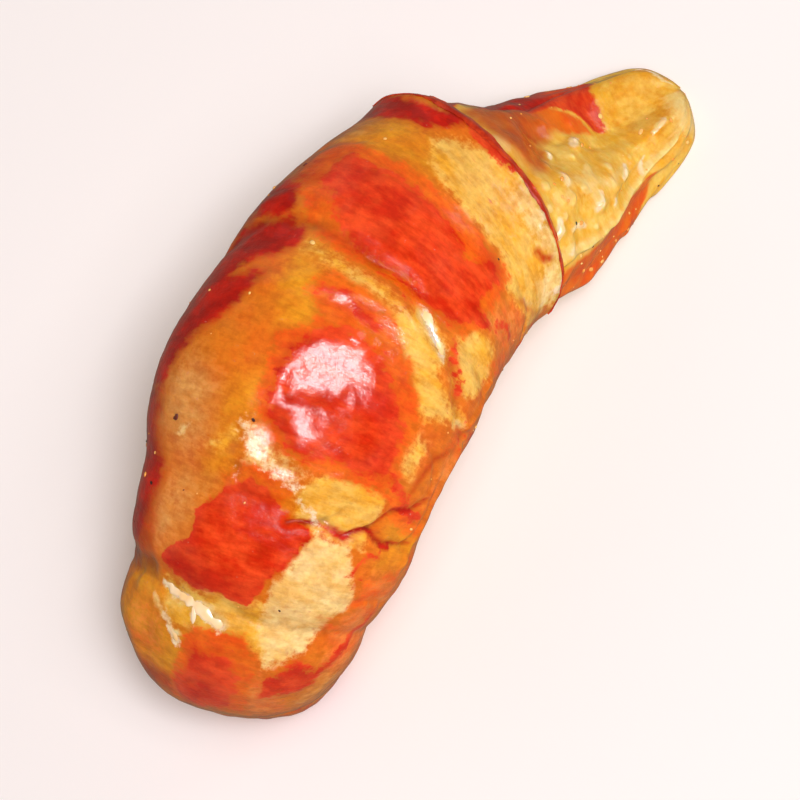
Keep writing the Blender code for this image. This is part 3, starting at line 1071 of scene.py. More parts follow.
    Tone.DEEP: (
        Patch(((27.3, -20), (27.9, 26), (30.2, 35), (31.3, 45), (33.6, 52), (33.4, 44), (33.2, 34),
               (33.8, 36), (34.6, 50), (35.2, 54), (36.2, 53), (36.4, 40), (36.0, 30), (36.0, -20)), 0.6),
        Streak(((32.0, 34), (33.0, 47)), 0.3, 0.5, 0.6),
        Patch(((20.3, -20), (20.5, 28), (22.0, 33), (24.2, 30), (26.0, 22), (27.8, 18), (27.8, -20)),
               0.6, 0.95),
        Patch(((48.4, 20), (48.6, 54), (50.4, 64), (52.6, 70), (54.4, 70), (55.0, 58), (54.8, 24)),
               0.7, 0.85),
        Patch(((36.3, -20), (36.3, 34), (36.9, 42), (37.8, 36), (38.2, 20), (38.0, -20)), 0.5, 0.95),
        Streak(((38.1, 28), (38.4, 40), (38.6, 48)), 0.25, 0.4, 0.7),
        Streak(((39.3, 26), (39.6, 40), (39.8, 50)), 0.2, 0.4, 0.5),
        Patch(((43.0, -10), (43.1, 36), (43.6, 60), (44.4, 70), (45.2, 76), (45.2, 68), (44.7, 60),
               (44.5, 48), (44.7, 40), (44.9, -10)), 0.35, 0.95),
        Patch(((22.6, -20), (22.8, 30), (23.6, 38), (24.8, 32), (25.0, -20)), 0.7, 0.85),
        Patch(((18.6, -20), (19.6, 22), (22.4, 24), (25.2, 22), (28.0, 24), (28.0, -20)), 1.0, 0.75),
        Patch(((20.3, 50), (20.3, 78), (20.9, 74), (21.2, 56), (20.8, 50)), 0.4, 0.6),
        Patch(((14.8, 76), (15.0, 90), (16.4, 88), (16.2, 78)), 0.5, 0.5),
        Streak(((20.9, 92), (22.0, 98), (23.2, 104), (23.9, 107)), 0.10, 0.2, 0.7),
        Streak(((24.3, 100), (24.6, 110), (24.3, 120), (24.95, 130), (24.3, 141), (24.6, 158)),
                0.12, 0.2, 0.95),
        Streak(((25.0, 130), (26.1, 136), (26.5, 148), (27.3, 158)), 0.10, 0.2, 0.85),
        Streak(((24.2, 110), (24.6, 114), (24.6, 119), (24.2, 128)), 0.13, 0.25, 0.6),
        Streak(((27.2, 132), (27.6, 126)), 0.2, 0.3, 0.5),
        Streak(((28.6, 79), (30.2, 77), (31.2, 78)), 0.16, 0.3, 0.5),
        Streak(((36.1, 106), (36.0, 92), (36.2, 82)), 0.12, 0.25, 0.6),
        Streak(((38.4, 108), (38.9, 114), (38.6, 120)), 0.16, 0.3, 0.5),
    ),
    # painted shadow lines: the gap under the lip of the ring, drawn on the lip's crest, and the groove
    # above the rounded end
    Tone.LINE: (
        Streak(((45.05, 56), (45.1, 84), (45.2, 100)), 0.24, 0.2, 0.95),
        Streak(((45.2, 100), (45.2, 140)), 0.2, 0.2, 0.95),
        Streak(((45.2, 140), (45.2, 176)), 0.14, 0.2, 0.7),
        Streak(((19.7, 62), (19.9, 74), (20.0, 90)), 0.08, 0.2, 0.5),
    ),
    # painted highlights: near-white streaks where the wet meat shines, on the rounded end, the crack, the
    # back and the lumps of the neck
    Tone.PALE: (
        Streak(((19.60, 52), (19.45, 62), (19.36, 72), (19.10, 79), (18.85, 86)), 0.20, 0.22, 0.9),
        Streak(((19.40, 70), (18.95, 73), (18.55, 74)), 0.16, 0.2, 0.8),
        Streak(((18.40, 59), (18.00, 63), (17.50, 68)), 0.22, 0.25, 0.9),
        Streak(((35.60, 108), (35.00, 114.7), (34.10, 125)), 0.22, 0.25, 0.9),
        Streak(((25.30, 98), (24.80, 104), (24.50, 109)), 0.2, 0.25, 0.8),
        Streak(((27.5, 73), (26.8, 79), (26.2, 86)), 0.30, 0.5, 0.8),
        Streak(((25.9, 74), (25.4, 74)), 0.14, 0.25, 0.7),
        Streak(((26.1, 88), (25.8, 95)), 0.25, 0.35, 0.8),
        Streak(((53.9, 97), (53.1, 101)), 0.34, 0.26, 0.95),
        Streak(((50.6, 97.5), (50.4, 100.5)), 0.26, 0.24, 0.9),
        Streak(((49.7, 112.5), (49.1, 117)), 0.28, 0.26, 0.9),
        Streak(((51.6, 134), (50.8, 140)), 0.36, 0.28, 0.9),
        Streak(((56.2, 132), (55.2, 138)), 0.38, 0.28, 0.9),
        Streak(((60.6, 117), (60.0, 122)), 0.28, 0.26, 0.85),
        Streak(((47.1, 132), (46.6, 140)), 0.30, 0.26, 0.9),
        Streak(((45.3, 150), (44.4, 156)), 0.36, 0.28, 0.9),
        Streak(((45.0, 114), (44.7, 120)), 0.20, 0.3, 0.9),
        Streak(((49.4, 147), (48.0, 141)), 0.26, 0.26, 0.9),
        Streak(((58.4, 138), (57.2, 149)), 0.28, 0.28, 0.85),
        Streak(((60.6, 52), (61.6, 62), (62.0, 76)), 0.20, 0.3, 0.8),
        Streak(((47.6, 151), (47.5, 154)), 0.26, 0.26, 0.85),
        Streak(((53.1, 145), (52.8, 149)), 0.24, 0.26, 0.85),
    ),
}


@dataclass(frozen=True)
class Cloud:
    """How a tone is strewn where there are no marks: an uneven field, and the values where it shows."""

    width: float
    seed: int
    shows: Range
    amount: float

    def field(self, places: np.ndarray) -> np.ndarray:
        """Strength of the tone.

        Args:
            places: points on the straight tail.

        Returns:
            From 0 to amount, for each point.
        """
        size = (0.8 * self.width, self.width, self.width)
        return self.amount * ramp(Uneven(1.0, size, self.seed).at(places), *self.shows)


CLOUDS = {
    Tone.GOLD: Cloud(4.0, 37, (0.05, 0.5), 0.85),
    Tone.TAN: Cloud(3.2, 38, (0.25, 0.6), 0.7),
    Tone.SALMON: Cloud(3.6, 39, (0.15, 0.5), 0.8),
    Tone.YELLOW: Cloud(2.8, 40, (0.40, 0.7), 0.8),
    Tone.BROWN: Cloud(2.6, 44, (0.40, 0.7), 0.7),
}


@dataclass
class Colouring:
    """Where each tone lies on the meat: by its marks on the left, back and neck, made up elsewhere.

    The marks count from known_along on, and around it between known_left and known_right.
    """

    form: TailForm
    known_along: Range = (12.5, 14.5)
    known_left: Range = (-8.0, 14.0)
    known_right: Range = (154.0, 176.0)
    known_edge: Uneven = Uneven(9.0, 2.4, 36)
    guess_breaks: tuple[Uneven, Uneven] = (Uneven(0.55, (1.9, 3.2, 3.2), 21), Uneven(0.25, 0.9, 22))
    drift_along: tuple[Uneven, Uneven] = (Uneven(0.16, 1.4, 31), Uneven(0.12, 0.5, 32))
    drift_around: tuple[Uneven, Uneven] = (Uneven(1.4, 1.6, 33), Uneven(0.9, 0.5, 34))
    belly_cream: Uneven = Uneven(0.4, 2.5, 35)

    def guessed(self, spots: Spots) -> np.ndarray:
        """Red skin where there are no marks: ragged bands over the front of each segment.

        Args:
            spots: places on the tail.

        Returns:
            Strength of the red, from 0 to 1.
        """
        band = bump(self.form.segment_share(spots) - 0.62, 0.34)
        dorsal = ramp(spots.sine, -0.25, 0.2)
        broken = sum(layer.at(spots.unbent) for layer in self.guess_breaks)
        return unit(band * dorsal * (0.75 + broken))

    def known(self, spots: Spots) -> np.ndarray:
        """Whether the marks say what the meat looks like.

        Args:
            spots: places on the tail.

        Returns:
            1 where they do and 0 where they don't, with a ragged edge between.
        """
        ragged = spots.degrees + self.known_edge.at(spots.unbent)
        around = ramp(ragged, *self.known_left) * (1 - ramp(ragged, *self.known_right))
        return np.maximum(ramp(spots.along, *self.known_along) * around, self.neck(spots))

    def neck(self, spots: Spots) -> np.ndarray:
        """1 on the bare neck, 0 on the barrel."""
        return ramp(spots.along, self.form.ring, self.form.ring + 1.0)

    def fields(self, spots: Spots) -> dict[Tone, np.ndarray]:
        """Lay all the tones.

        Args:
            spots: places on the tail.

        Returns:
            Strength of each tone at each place.
        """
        places = spots.unbent
        along = spots.along + sum(layer.at(places) for layer in self.drift_along)
        degrees = spots.degrees + sum(layer.at(places) for layer in self.drift_around)
        known, neck = self.known(spots), self.neck(spots)
        unknown = (1 - known) * (1 - neck)
        layers = {
            tone: known * np.max([mark.field(along, degrees) for mark in marks], axis=0)
            for tone, marks in MARKS.items()
        }

        def add(tone: Tone, values: np.ndarray) -> None:
            """Lay more of a tone."""
            layers[tone] = np.maximum(layers[tone], values)

        for tone, cloud in CLOUDS.items():
            add(tone, unknown * cloud.field(places))
        add(Tone.RED, unknown * self.guessed(spots))
        belly = ramp(-spots.sine, 0.15, 0.6)
        add(Tone.CREAM, 0.75 * belly * (0.8 + self.belly_cream.at(places)))
        add(Tone.YELLOW, neck * (1.0 - 0.45 * layers[Tone.GOLD]))
        # cream on the tops of the neck's lumps and golden between them: painted light on the lump tops and
        # painted shade between them
        add(Tone.CREAM, 0.95 * neck * ramp(self.form.blobs(spots), 0.06, 0.22))
        return layers


# ---------------------------------------------------------------------------
# Finishes
# ---------------------------------------------------------------------------
class NodeBench:
    """Short calls for the shader nodes that the finishes are made of."""

    MIX_INPUTS = (0, 6, 7)      # share, first and second colour of a mix node
    MIX_OUTPUT = 2              # its mixed colour

    def __init__(self, name: str) -> None:
        """Start a material with a plain Principled shader.

        Args:
            name: name of the material.
        """
        self.material = bpy.data.materials.new(name)
        self.material.use_nodes = True
        self.tree = self.material.node_tree
        self.shader = self.tree.nodes["Principled BSDF"]

    def node(self, kind: str, **settings: object) -> bpy.types.Node:
        """Add a node.

        Args:
            kind: its type.
            settings: values of its properties.

        Returns:
            The new node.
        """
        made = self.tree.nodes.new(kind)
        for name, value in settings.items():
            setattr(made, name, value)
        return made

    def fill(self, node: bpy.types.Node, inputs: dict[str | int, object]) -> None:
        """Fill inputs of a node.

        Args:
            node: the node.
            inputs: for each, by its name or number, a number or colour to set or an output to link.
        """
        for key, value in inputs.items():
            if isinstance(value, bpy.types.NodeSocket):
                self.tree.links.new(value, node.inputs[key])
            else:
                node.inputs[key].default_value = value

    def finished(self, inputs: dict[str, object]) -> bpy.types.Material:
        """Fill inputs of the shader.

        Args:
            inputs: as for fill.

        Returns:
            The material.
        """
        self.fill(self.shader, inputs)
        return self.material

    def attribute(self, name: str, output: str = "Fac") -> bpy.types.NodeSocket:
        """Value of a mesh attribute."""
        return self.node("ShaderNodeAttribute", attribute_name=name).outputs[output]

    def object_places(self) -> bpy.types.NodeSocket:
        """Coordinates of the object, in metres."""
        return self.node("ShaderNodeTexCoord").outputs["Object"]

    def texture(
        self, where: object, size: float, detail: float, rough: float, stretch: Triple = (1.0, 1.0, 1.0)
    ) -> bpy.types.NodeSocket:
        """Noise.

        Args:
            where: coordinates to lay it on.
            size: width of its features, in the units of where.
            detail: octaves of finer noise.
            rough: strength of the finer octaves.
            stretch: how many times wider the features are along each axis.

        Returns:
            Its value, from 0 to 1.
        """
        mapping = self.node("ShaderNodeMapping")
        self.fill(mapping, {"Vector": where, "Scale": [1.0 / (size * part) for part in stretch]})
        made = self.node("ShaderNodeTexNoise")
        places = mapping.outputs["Vector"]
        self.fill(made, {"Vector": places, "Scale": 1.0, "Detail": detail, "Roughness": rough})
        return made.outputs["Fac"]

    def math(self, operation: str, first: object, second: object = 0.0) -> bpy.types.NodeSocket:
        """Sum, product or other function of two values.

        Args:
            operation: name of the function.
            first: a number or an output.
            second: the same.

        Returns:
            The result.
        """
        made = self.node("ShaderNodeMath", operation=operation)
        self.fill(made, {0: first, 1: second})
        return made.outputs[0]

    def step(self, value: object, low: float, high: float, top: float = 1.0) -> bpy.types.NodeSocket:
        """Turn a value into a smooth step.

        Args:
            value: an output.
            low: where the step starts.
            high: where it ends.
            top: its height.

        Returns:
            0 below low and top above high.
        """
        made = self.node("ShaderNodeMapRange", interpolation_type="SMOOTHSTEP")
        self.fill(made, {"Value": value, "From Min": low, "From Max": high, "To Max": top})
        return made.outputs["Result"]

    def blend(
        self, share: object, first: object, second: object, kind: str = "MIX"
    ) -> bpy.types.NodeSocket:
        """Mix two colours.

        Args:
            share: how much of the second, from 0 to 1.
            first: a colour or an output.
            second: the same.
            kind: how they are mixed.

        Returns:
            The mixed colour.
        """
        made = self.node("ShaderNodeMix", data_type="RGBA", blend_type=kind)
        self.fill(made, dict(zip(self.MIX_INPUTS, (share, first, second))))
        return made.outputs[self.MIX_OUTPUT]

    def bumps(
        self, height: object, depth: float, strength: float, under: bpy.types.NodeSocket | None = None
    ) -> bpy.types.NodeSocket:
        """Roughen the surface by a height field.

        Args:
            height: the field.
            depth: metres from its 0 to its 1.
            strength: how much it shows.
            under: another roughened normal that it lies on.

        Returns:
            The normal.
        """
        made = self.node("ShaderNodeBump")
        self.fill(made, {"Strength": strength, "Distance": depth, "Height": height})
        if under is not None:
            self.fill(made, {"Normal": under})
        return made.outputs["Normal"]


@dataclass(frozen=True)
class ToneFinish:
    """How one tone looks and how its edge is broken up.

    The tone starts where its field passes low and is full at high. ragged is how far noise moves that, and
    streaky how much of that noise runs in lines around the body.
    """

    color: Color
    second: Color
    low: float
    high: float
    ragged: float = 0.5
    streaky: float = 0.2


TONES = {
    Tone.GOLD: ToneFinish((0.94, 0.66, 0.13), (0.92, 0.57, 0.10), 0.05, 0.95, 0.4),
    Tone.TAN: ToneFinish((0.93, 0.69, 0.36), (0.89, 0.57, 0.22), 0.05, 0.95, 0.5, 0.5),
    Tone.SALMON: ToneFinish((0.98, 0.60, 0.27), (0.96, 0.47, 0.17), 0.10, 0.90, 0.7),
    Tone.YELLOW: ToneFinish((0.99, 0.83, 0.42), (0.97, 0.72, 0.20), 0.20, 0.75, 0.7, 0.4),
    Tone.CREAM: ToneFinish((0.99, 0.89, 0.62), (0.98, 0.81, 0.46), 0.20, 0.80, 0.7),
    # brown, also used as painted shade
    Tone.BROWN: ToneFinish((0.85, 0.36, 0.02), (0.77, 0.25, 0.01), 0.05, 0.95, 0.5, 0.5),
    Tone.ORANGE: ToneFinish((0.96, 0.49, 0.10), (0.94, 0.37, 0.08), 0.20, 0.68, 0.8, 0.5),
    Tone.RED: ToneFinish((0.95, 0.34, 0.14), (0.85, 0.18, 0.05), 0.34, 0.70, 0.9, 0.5),
    # deep red, also used as painted shade
    Tone.DEEP: ToneFinish((0.85, 0.11, 0.01), (0.68, 0.05, 0.01), 0.10, 0.80, 0.7, 0.7),
    # colour of the painted shadow lines
    Tone.LINE: ToneFinish((0.58, 0.08, 0.03), (0.66, 0.14, 0.05), 0.20, 0.80, 0.8, 0.2),
    # colour of the painted highlights
    Tone.PALE: ToneFinish((1.0, 0.94, 0.82), (1.0, 0.88, 0.68), 0.30, 0.75, 0.9, 0.3),
}


@dataclass(frozen=True)
class MeatFinish:
    """Cooked meat under a thin, wet film of sauce.

    torn_calm is how much weaker the noise is on the torn neck, and rag_reach how far it moves the edges of
    the tones. dimmed and torn_shade are what the dark specks and the torn neck are multiplied by.
    """

    base: Color = (0.93, 0.55, 0.12)
    base_second: Color = (0.90, 0.46, 0.09)
    # colour of the painted shade and gathered sauce in the creases
    crease_shade_and_sauce: Color = (0.45, 0.13, 0.04)
    dimmed: Shade = (0.74, 0.60, 0.50, 1.0)
    torn_shade: Shade = (0.90, 0.92, 0.80, 1.0)
    torn_calm: float = 0.6
    rag_reach: float = 2.4
    roughness: float = 0.32
    roughness_spread: float = 0.2
    film_roughness: float = 0.12
    wet_specular: float = 0.25

    def material(self) -> bpy.types.Material:
        """Build the material: the tones one over another, painted shade with sauce in the hollows, darker
        specks, and the relief.

        Returns:
            The material.
        """
        bench = NodeBench("sauced_crayfish_meat")
        here = bench.object_places()
        along = bench.attribute("unbent", "Vector")
        cloud = bench.texture(here, 2.2 * MM, 4.0, 0.6)
        fleck = bench.texture(here, 0.42 * MM, 4.0, 0.65)
        streak = bench.texture(along, 0.36, 3.0, 0.65, (1.0, 4.0, 4.0))
        shadow = bench.texture(along, 0.9, 4.0, 0.65, (1.0, 2.6, 2.6))
        torn, wet = bench.attribute("torn"), bench.attribute("wet")
        grainy = bench.math("SUBTRACT", 1.0, bench.math("MULTIPLY", torn, self.torn_calm))

        color = bench.blend(bench.step(cloud, 0.36, 0.64), linear(*self.base), linear(*self.base_second))
        for tone, look in TONES.items():
            flecked = bench.math("MULTIPLY", fleck, 1.0 - look.streaky)
            rag = bench.math("ADD", flecked, bench.math("MULTIPLY", streak, look.streaky))
            reach = self.rag_reach * look.ragged
            moved = bench.math("MULTIPLY", bench.math("SUBTRACT", rag, 0.5), reach)
            moved = bench.math("MULTIPLY", moved, grainy)
            share = bench.step(bench.math("ADD", bench.attribute(tone.value), moved), look.low, look.high)
            shade = bench.blend(bench.step(shadow, 0.34, 0.66), linear(*look.color), linear(*look.second))
            color = bench.blend(share, color, shade)
        # painted shade with gathered sauce: the creases and grooves are darkened towards brown
        crease_shade_and_sauce = bench.step(bench.attribute("crease_shade_and_sauce"), 0.2, 1.0, 0.6)
        color = bench.blend(crease_shade_and_sauce, color, linear(*self.crease_shade_and_sauce))
        for grained, depth in ((streak, 0.55), (fleck, 0.45), (cloud, 0.4)):
            dim = bench.math("MULTIPLY", bench.step(grained, 0.62, 0.34, depth), grainy)
            color = bench.blend(dim, color, self.dimmed, "MULTIPLY")

        wave = bench.bumps(bench.texture(along, 1.6, 2.0, 0.5, (1.0, 1.4, 1.4)), 0.12 * MM, 0.5)
        lines = bench.bumps(bench.math("MULTIPLY", streak, grainy), 0.05 * MM, 0.6, wave)
        film = bench.bumps(bench.texture(here, 0.8 * MM, 4.0, 0.6), 0.12 * MM, 0.62, wave)
        uneven = bench.math("MULTIPLY", fleck, self.roughness_spread)
        return bench.finished({
            "Base Color": bench.blend(torn, color, self.torn_shade, "MULTIPLY"),
            "Roughness": bench.math("ADD", uneven, self.roughness - 0.5 * self.roughness_spread),
            "Normal": bench.bumps(fleck, 0.05 * MM, 0.6, lines),
            "Coat Normal": film,
            "Coat Weight": wet,
            "Coat Roughness": self.film_roughness,
            "Coat IOR": 1.36,
            "Specular IOR Level": bench.math("MULTIPLY", wet, self.wet_specular),
            "IOR": 1.40,
            "Subsurface Weight": 0.6,
            "Subsurface Radius": (1.0, 0.38, 0.14),
            "Subsurface Scale": 1.2 * MM,
        })


@dataclass(frozen=True)
class Noise:
    """Noise in a finish: width of its features in millimetres, finer octaves and their strength."""

    size: float
    detail: float
    rough: float


@dataclass(frozen=True)
class CloudedFinish:
    """A finish in two colours that mix in clouds, with fine dents.

    mixed gives the values of the clouds where the second colour sets in and where it is full. depth is how
    deep the dents go in millimetres, strength how much they show, and inputs the rest of the shader's.
    """

    name: str
    color: Color
    second: Color
    clouds: Noise
    mixed: Range
    dents: Noise
    depth: float
    strength: float
    inputs: dict[str, float | Triple]

    def material(self) -> bpy.types.Material:
        """Build the material.

        Returns:
            The material.
        """
        bench = NodeBench(self.name)
        here = bench.object_places()
        cloud, dents = (
            bench.texture(here, layer.size * MM, layer.detail, layer.rough)
            for layer in (self.clouds, self.dents)
        )
        color = bench.blend(bench.step(cloud, *self.mixed), linear(*self.color), linear(*self.second))
        normal = bench.bumps(dents, self.depth * MM, self.strength)
        return bench.finished({"Base Color": color, "Normal": normal, **self.inputs})


# thin, dark red skin at its torn edge
TORN_SKIN = CloudedFinish(
    name="torn_red_skin",
    color=(0.66, 0.12, 0.03),
    second=(0.84, 0.26, 0.08),
    clouds=Noise(0.9, 4.0, 0.6),
    mixed=(0.38, 0.66),
    dents=Noise(0.25, 3.0, 0.6),
    depth=0.03,
    strength=0.6,
    inputs={
        "Roughness": 0.3,
        "Specular IOR Level": 0.25,
        "Coat Weight": 0.9,
        "Coat Roughness": 0.1,
        "Coat IOR": 1.36,
        "Subsurface Weight": 0.3,
        "Subsurface Radius": (1.0, 0.3, 0.1),
        "Subsurface Scale": 0.5 * MM,
    },
)

# thick sauce, which hides what is under it: pale in threads and amber in drops; the pale colour of the
# threads is partly painted highlight along them
PALE_SAUCE_AND_HIGHLIGHT = CloudedFinish(
    name="pale_sauce_and_highlight",
    color=(1.0, 0.91, 0.76),
    second=(0.99, 0.82, 0.56),
    clouds=Noise(2.0, 2.0, 0.5),
    mixed=(0.38, 0.62),
    dents=Noise(0.3, 2.0, 0.5),
    depth=0.01,
    strength=0.5,
    inputs={"Roughness": 0.2, "Coat Weight": 1.0, "Coat IOR": 1.4, "Coat Roughness": 0.06},
)
AMBER_SAUCE = replace(PALE_SAUCE_AND_HIGHLIGHT, name="amber_sauce", color=(0.98, 0.80, 0.46), second=(0.96, 0.64, 0.28))

# ground black pepper and dried chilli
GROUND_PEPPER = CloudedFinish(
    name="ground_pepper",
    color=(0.16, 0.07, 0.03),
    second=(0.40, 0.12, 0.05),
    clouds=Noise(0.5, 3.0, 0.6),
    mixed=(0.45, 0.65),
    dents=Noise(0.06, 2.0, 0.5),
    depth=0.01,
    strength=0.7,
    inputs={"Roughness": 0.45, "Coat Weight": 0.6, "Coat Roughness": 0.12},
)


# ---------------------------------------------------------------------------
# Pieces
# ---------------------------------------------------------------------------
@dataclass(frozen=True)
class DryPlace:
    """A place where the film of sauce is thin: its middle and its two half sizes in millimetres."""

    at: float
    degree: float
    half_length: float
    half_width: float


DRY_PLACES = (
    DryPlace(38.2, 106.0, 2.3, 3.4),
    DryPlace(36.5, 98.0, 0.9, 3.0),
    DryPlace(22.9, 82.0, 1.7, 2.4),
    DryPlace(24.2, 96.0, 1.1, 2.2),
    DryPlace(28.8, 105.0, 1.2, 1.6),
)


@dataclass
class TailMeat:
    """The meat itself: one closed skin that stands for the CAD solid.

    tip_share of its rows go to the first tip_length millimetres, and crowding moves columns to the back.
    """

    form: TailForm
    rows: int = 440
    columns: int = 212
    crowding: float = 0.25
    tip_length: float = 12.0
    tip_share: float = 0.14
    red_skin: float = 0.04
    red_edge: Range = (0.35, 0.65)
    torn_length: float = 1.5
    hollow_depth: float = 0.30
    flank_drying: float = 0.65
    bare_drying: float = 0.85
    crease_breaks: Uneven = Uneven(0.8, 1.8, 45)
    smooth: float = 80.0
    name: str = "crayfish_tail_meat"

    def build(self) -> bpy.types.Object:
        """Roll a grid round the spine, close it, press its underside flat and dress it.

        Returns:
            The finished piece.
        """
        form = self.form
        skin = grid_sheet(self.name, self.rows, self.columns)
        across, around = grid_places(skin)
        along = np.interp(across, (0.0, self.tip_share, 1.0), (0.0, self.tip_length, form.length))
        angle = 2 * math.pi * around + self.crowding * (np.cos(2 * math.pi * around) - 1.0)
        spots = Spots(along, angle)
        fine = form.fine_rise(spots)
        fields = Colouring(form).fields(spots)
        rise = fine + self.red_skin * ramp(fields[Tone.RED], *self.red_edge)
        points = form.pressed(form.points(spots, rise), spots)
        points[:, 2] = np.maximum(points[:, 2], 0.0)
        move_vertices(skin, points)

        store(skin, "unbent", spots.unbent)
        # how far each place is darkened by painted shade and sauce in the creases
        store(skin, "crease_shade_and_sauce", self.hollows(spots, fine))
        store(skin, "wet", self.wetness(spots))
        store(skin, "torn", ramp(along, form.ring, form.ring + self.torn_length))
        for tone, values in fields.items():
            store(skin, tone.value, values)
        face_outwards(skin, close=True)
        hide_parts(MEAT_NODE)
        finish_piece(skin, MeatFinish().material(), self.smooth)
        return skin

    def wetness(self, spots: Spots) -> np.ndarray:
        """How thick the film of sauce lies: thin on the flanks of the barrel and on bare red skin.

        Args:
            spots: places on the tail.

        Returns:
            From 0 to 1, for each place.
        """
        ring = self.form.ring
        flank = ramp(-spots.sine, -0.45, 0.25) * (1 - ramp(spots.along, ring, ring + 1.8))
        bare = np.zeros_like(spots.along)
        for place in DRY_PLACES:
            aside = (spots.degrees - place.degree) * DEGREE_WIDTH / place.half_width
            far = np.hypot((spots.along - place.at) / place.half_length, aside)
            bare = np.maximum(bare, 1.0 - ramp(far, 0.7, 1.2))
        return (1.0 - self.flank_drying * flank) * (1.0 - self.bare_drying * bare)

    def hollows(self, spots: Spots, fine: np.ndarray) -> np.ndarray:
        """How far each place lies in a crease, where sauce and shadow gather: less so on the neck.

        Args:
            spots: places on the tail.
            fine: the fine relief there.

        Returns:
            From 0 to about 1, for each place.
        """
        ring = self.form.ring
        bare = 1.0 - 0.65 * ramp(spots.along, ring + 0.5, ring + 2.0)
        broken = np.clip(0.55 + self.crease_breaks.at(spots.unbent), 0.1, 1.0)
        creased = 0.8 * unit(-fine / self.hollow_depth) * bare
        return creased + broken * grooves(spots, SHARP_EDGES, 0.45)


@dataclass
class RingSkin:
    """The torn edge of the red skin, which curls up along the front edge of the first segment."""

    form: TailForm
    rows: int = 260
    columns: int = 10
    first_degree: float = 8.0
    last_degree: float = 178.0
    half_width: float = 0.26
    width_change: Uneven = Uneven(0.55, 2.2, 51)
    fray: Uneven = Uneven(0.35, 0.5, 52)
    setback: float = 0.12
    drift: Uneven = Uneven(0.10, 3.0, 53)
    lift: float = 0.03
    curl: float = 0.12
    curl_change: Uneven = Uneven(0.6, 0.9, 54)
    end_taper: float = 8.0
    thickness: float = 0.07
    smooth: float = 70.0
    name: str = "ring_skin"

    def build(self) -> bpy.types.Object:
        """Lay a narrow strip on the edge, curl its front, give it a thickness and dress it.

        Returns:
            The finished piece.
        """
        strip = grid_sheet(self.name, self.rows, self.columns)
        around, across = grid_places(strip)
        angle = np.radians(self.first_degree + (self.last_degree - self.first_degree) * around)
        line = Spots(np.full_like(angle, self.form.ring), angle).unbent
        side = 2.0 * across - 1.0
        taper = unit(np.minimum(around, 1.0 - around) * self.end_taper) ** 0.5
        change = self.width_change.at(line) + side * self.fray.at(line)
        width = self.half_width * taper * (1.0 + change)
        along = self.form.ring - self.setback + self.drift.at(line) + side * width
        curl = self.curl * unit(side) ** 2 * (1.0 + self.curl_change.at(line))
        move_vertices(strip, self.form.surface(Spots(along, angle), self.lift + curl))
        wall = strip.modifiers.new("wall", "SOLIDIFY")
        wall.thickness = self.thickness * MM
        wall.offset = 0.0
        activate(strip)
        bpy.ops.object.modifier_apply(modifier=wall.name)
        face_outwards(strip)
        finish_piece(strip, TORN_SKIN.material(), self.smooth)
        return strip


@dataclass(frozen=True)
class Run:
    """A thread of sauce that stands on the meat along a line of (millimetre, degree) places."""

    path: Path
    half_width: float
    height: float


# threads of sauce laid where the wet meat shines; their pale colour is partly painted highlight
RUNS = (
    Run(((19.60, 50.0), (19.45, 62.0), (19.36, 72.0), (19.10, 79.0), (18.85, 87.0)), 0.20, 0.09),
    Run(((19.40, 70.0), (18.95, 73.0), (18.55, 74.0)), 0.16, 0.08),
    Run(((18.40, 59.5), (18.00, 63.0), (17.50, 68.5)), 0.20, 0.09),
    Run(((35.60, 108.0), (35.00, 114.7), (34.10, 125.0)), 0.18, 0.07),
    Run(((54.00, 96.5), (53.10, 101.5)), 0.22, 0.09),
    Run(((50.70, 97.0), (50.30, 101.0)), 0.14, 0.06),
    Run(((49.90, 112.5), (49.20, 117.0)), 0.17, 0.07),
    Run(((51.80, 134.5), (50.80, 140.0)), 0.24, 0.09),
    Run(((56.20, 132.5), (55.30, 137.5)), 0.23, 0.09),
    Run(((47.30, 131.0), (46.50, 141.0)), 0.20, 0.09),
    Run(((49.50, 147.0), (48.20, 141.0)), 0.15, 0.07),
    Run(((60.70, 116.5), (60.00, 122.5)), 0.16, 0.07),
    Run(((60.80, 55.0), (61.60, 63.0), (61.90, 72.0)), 0.14, 0.06),
)


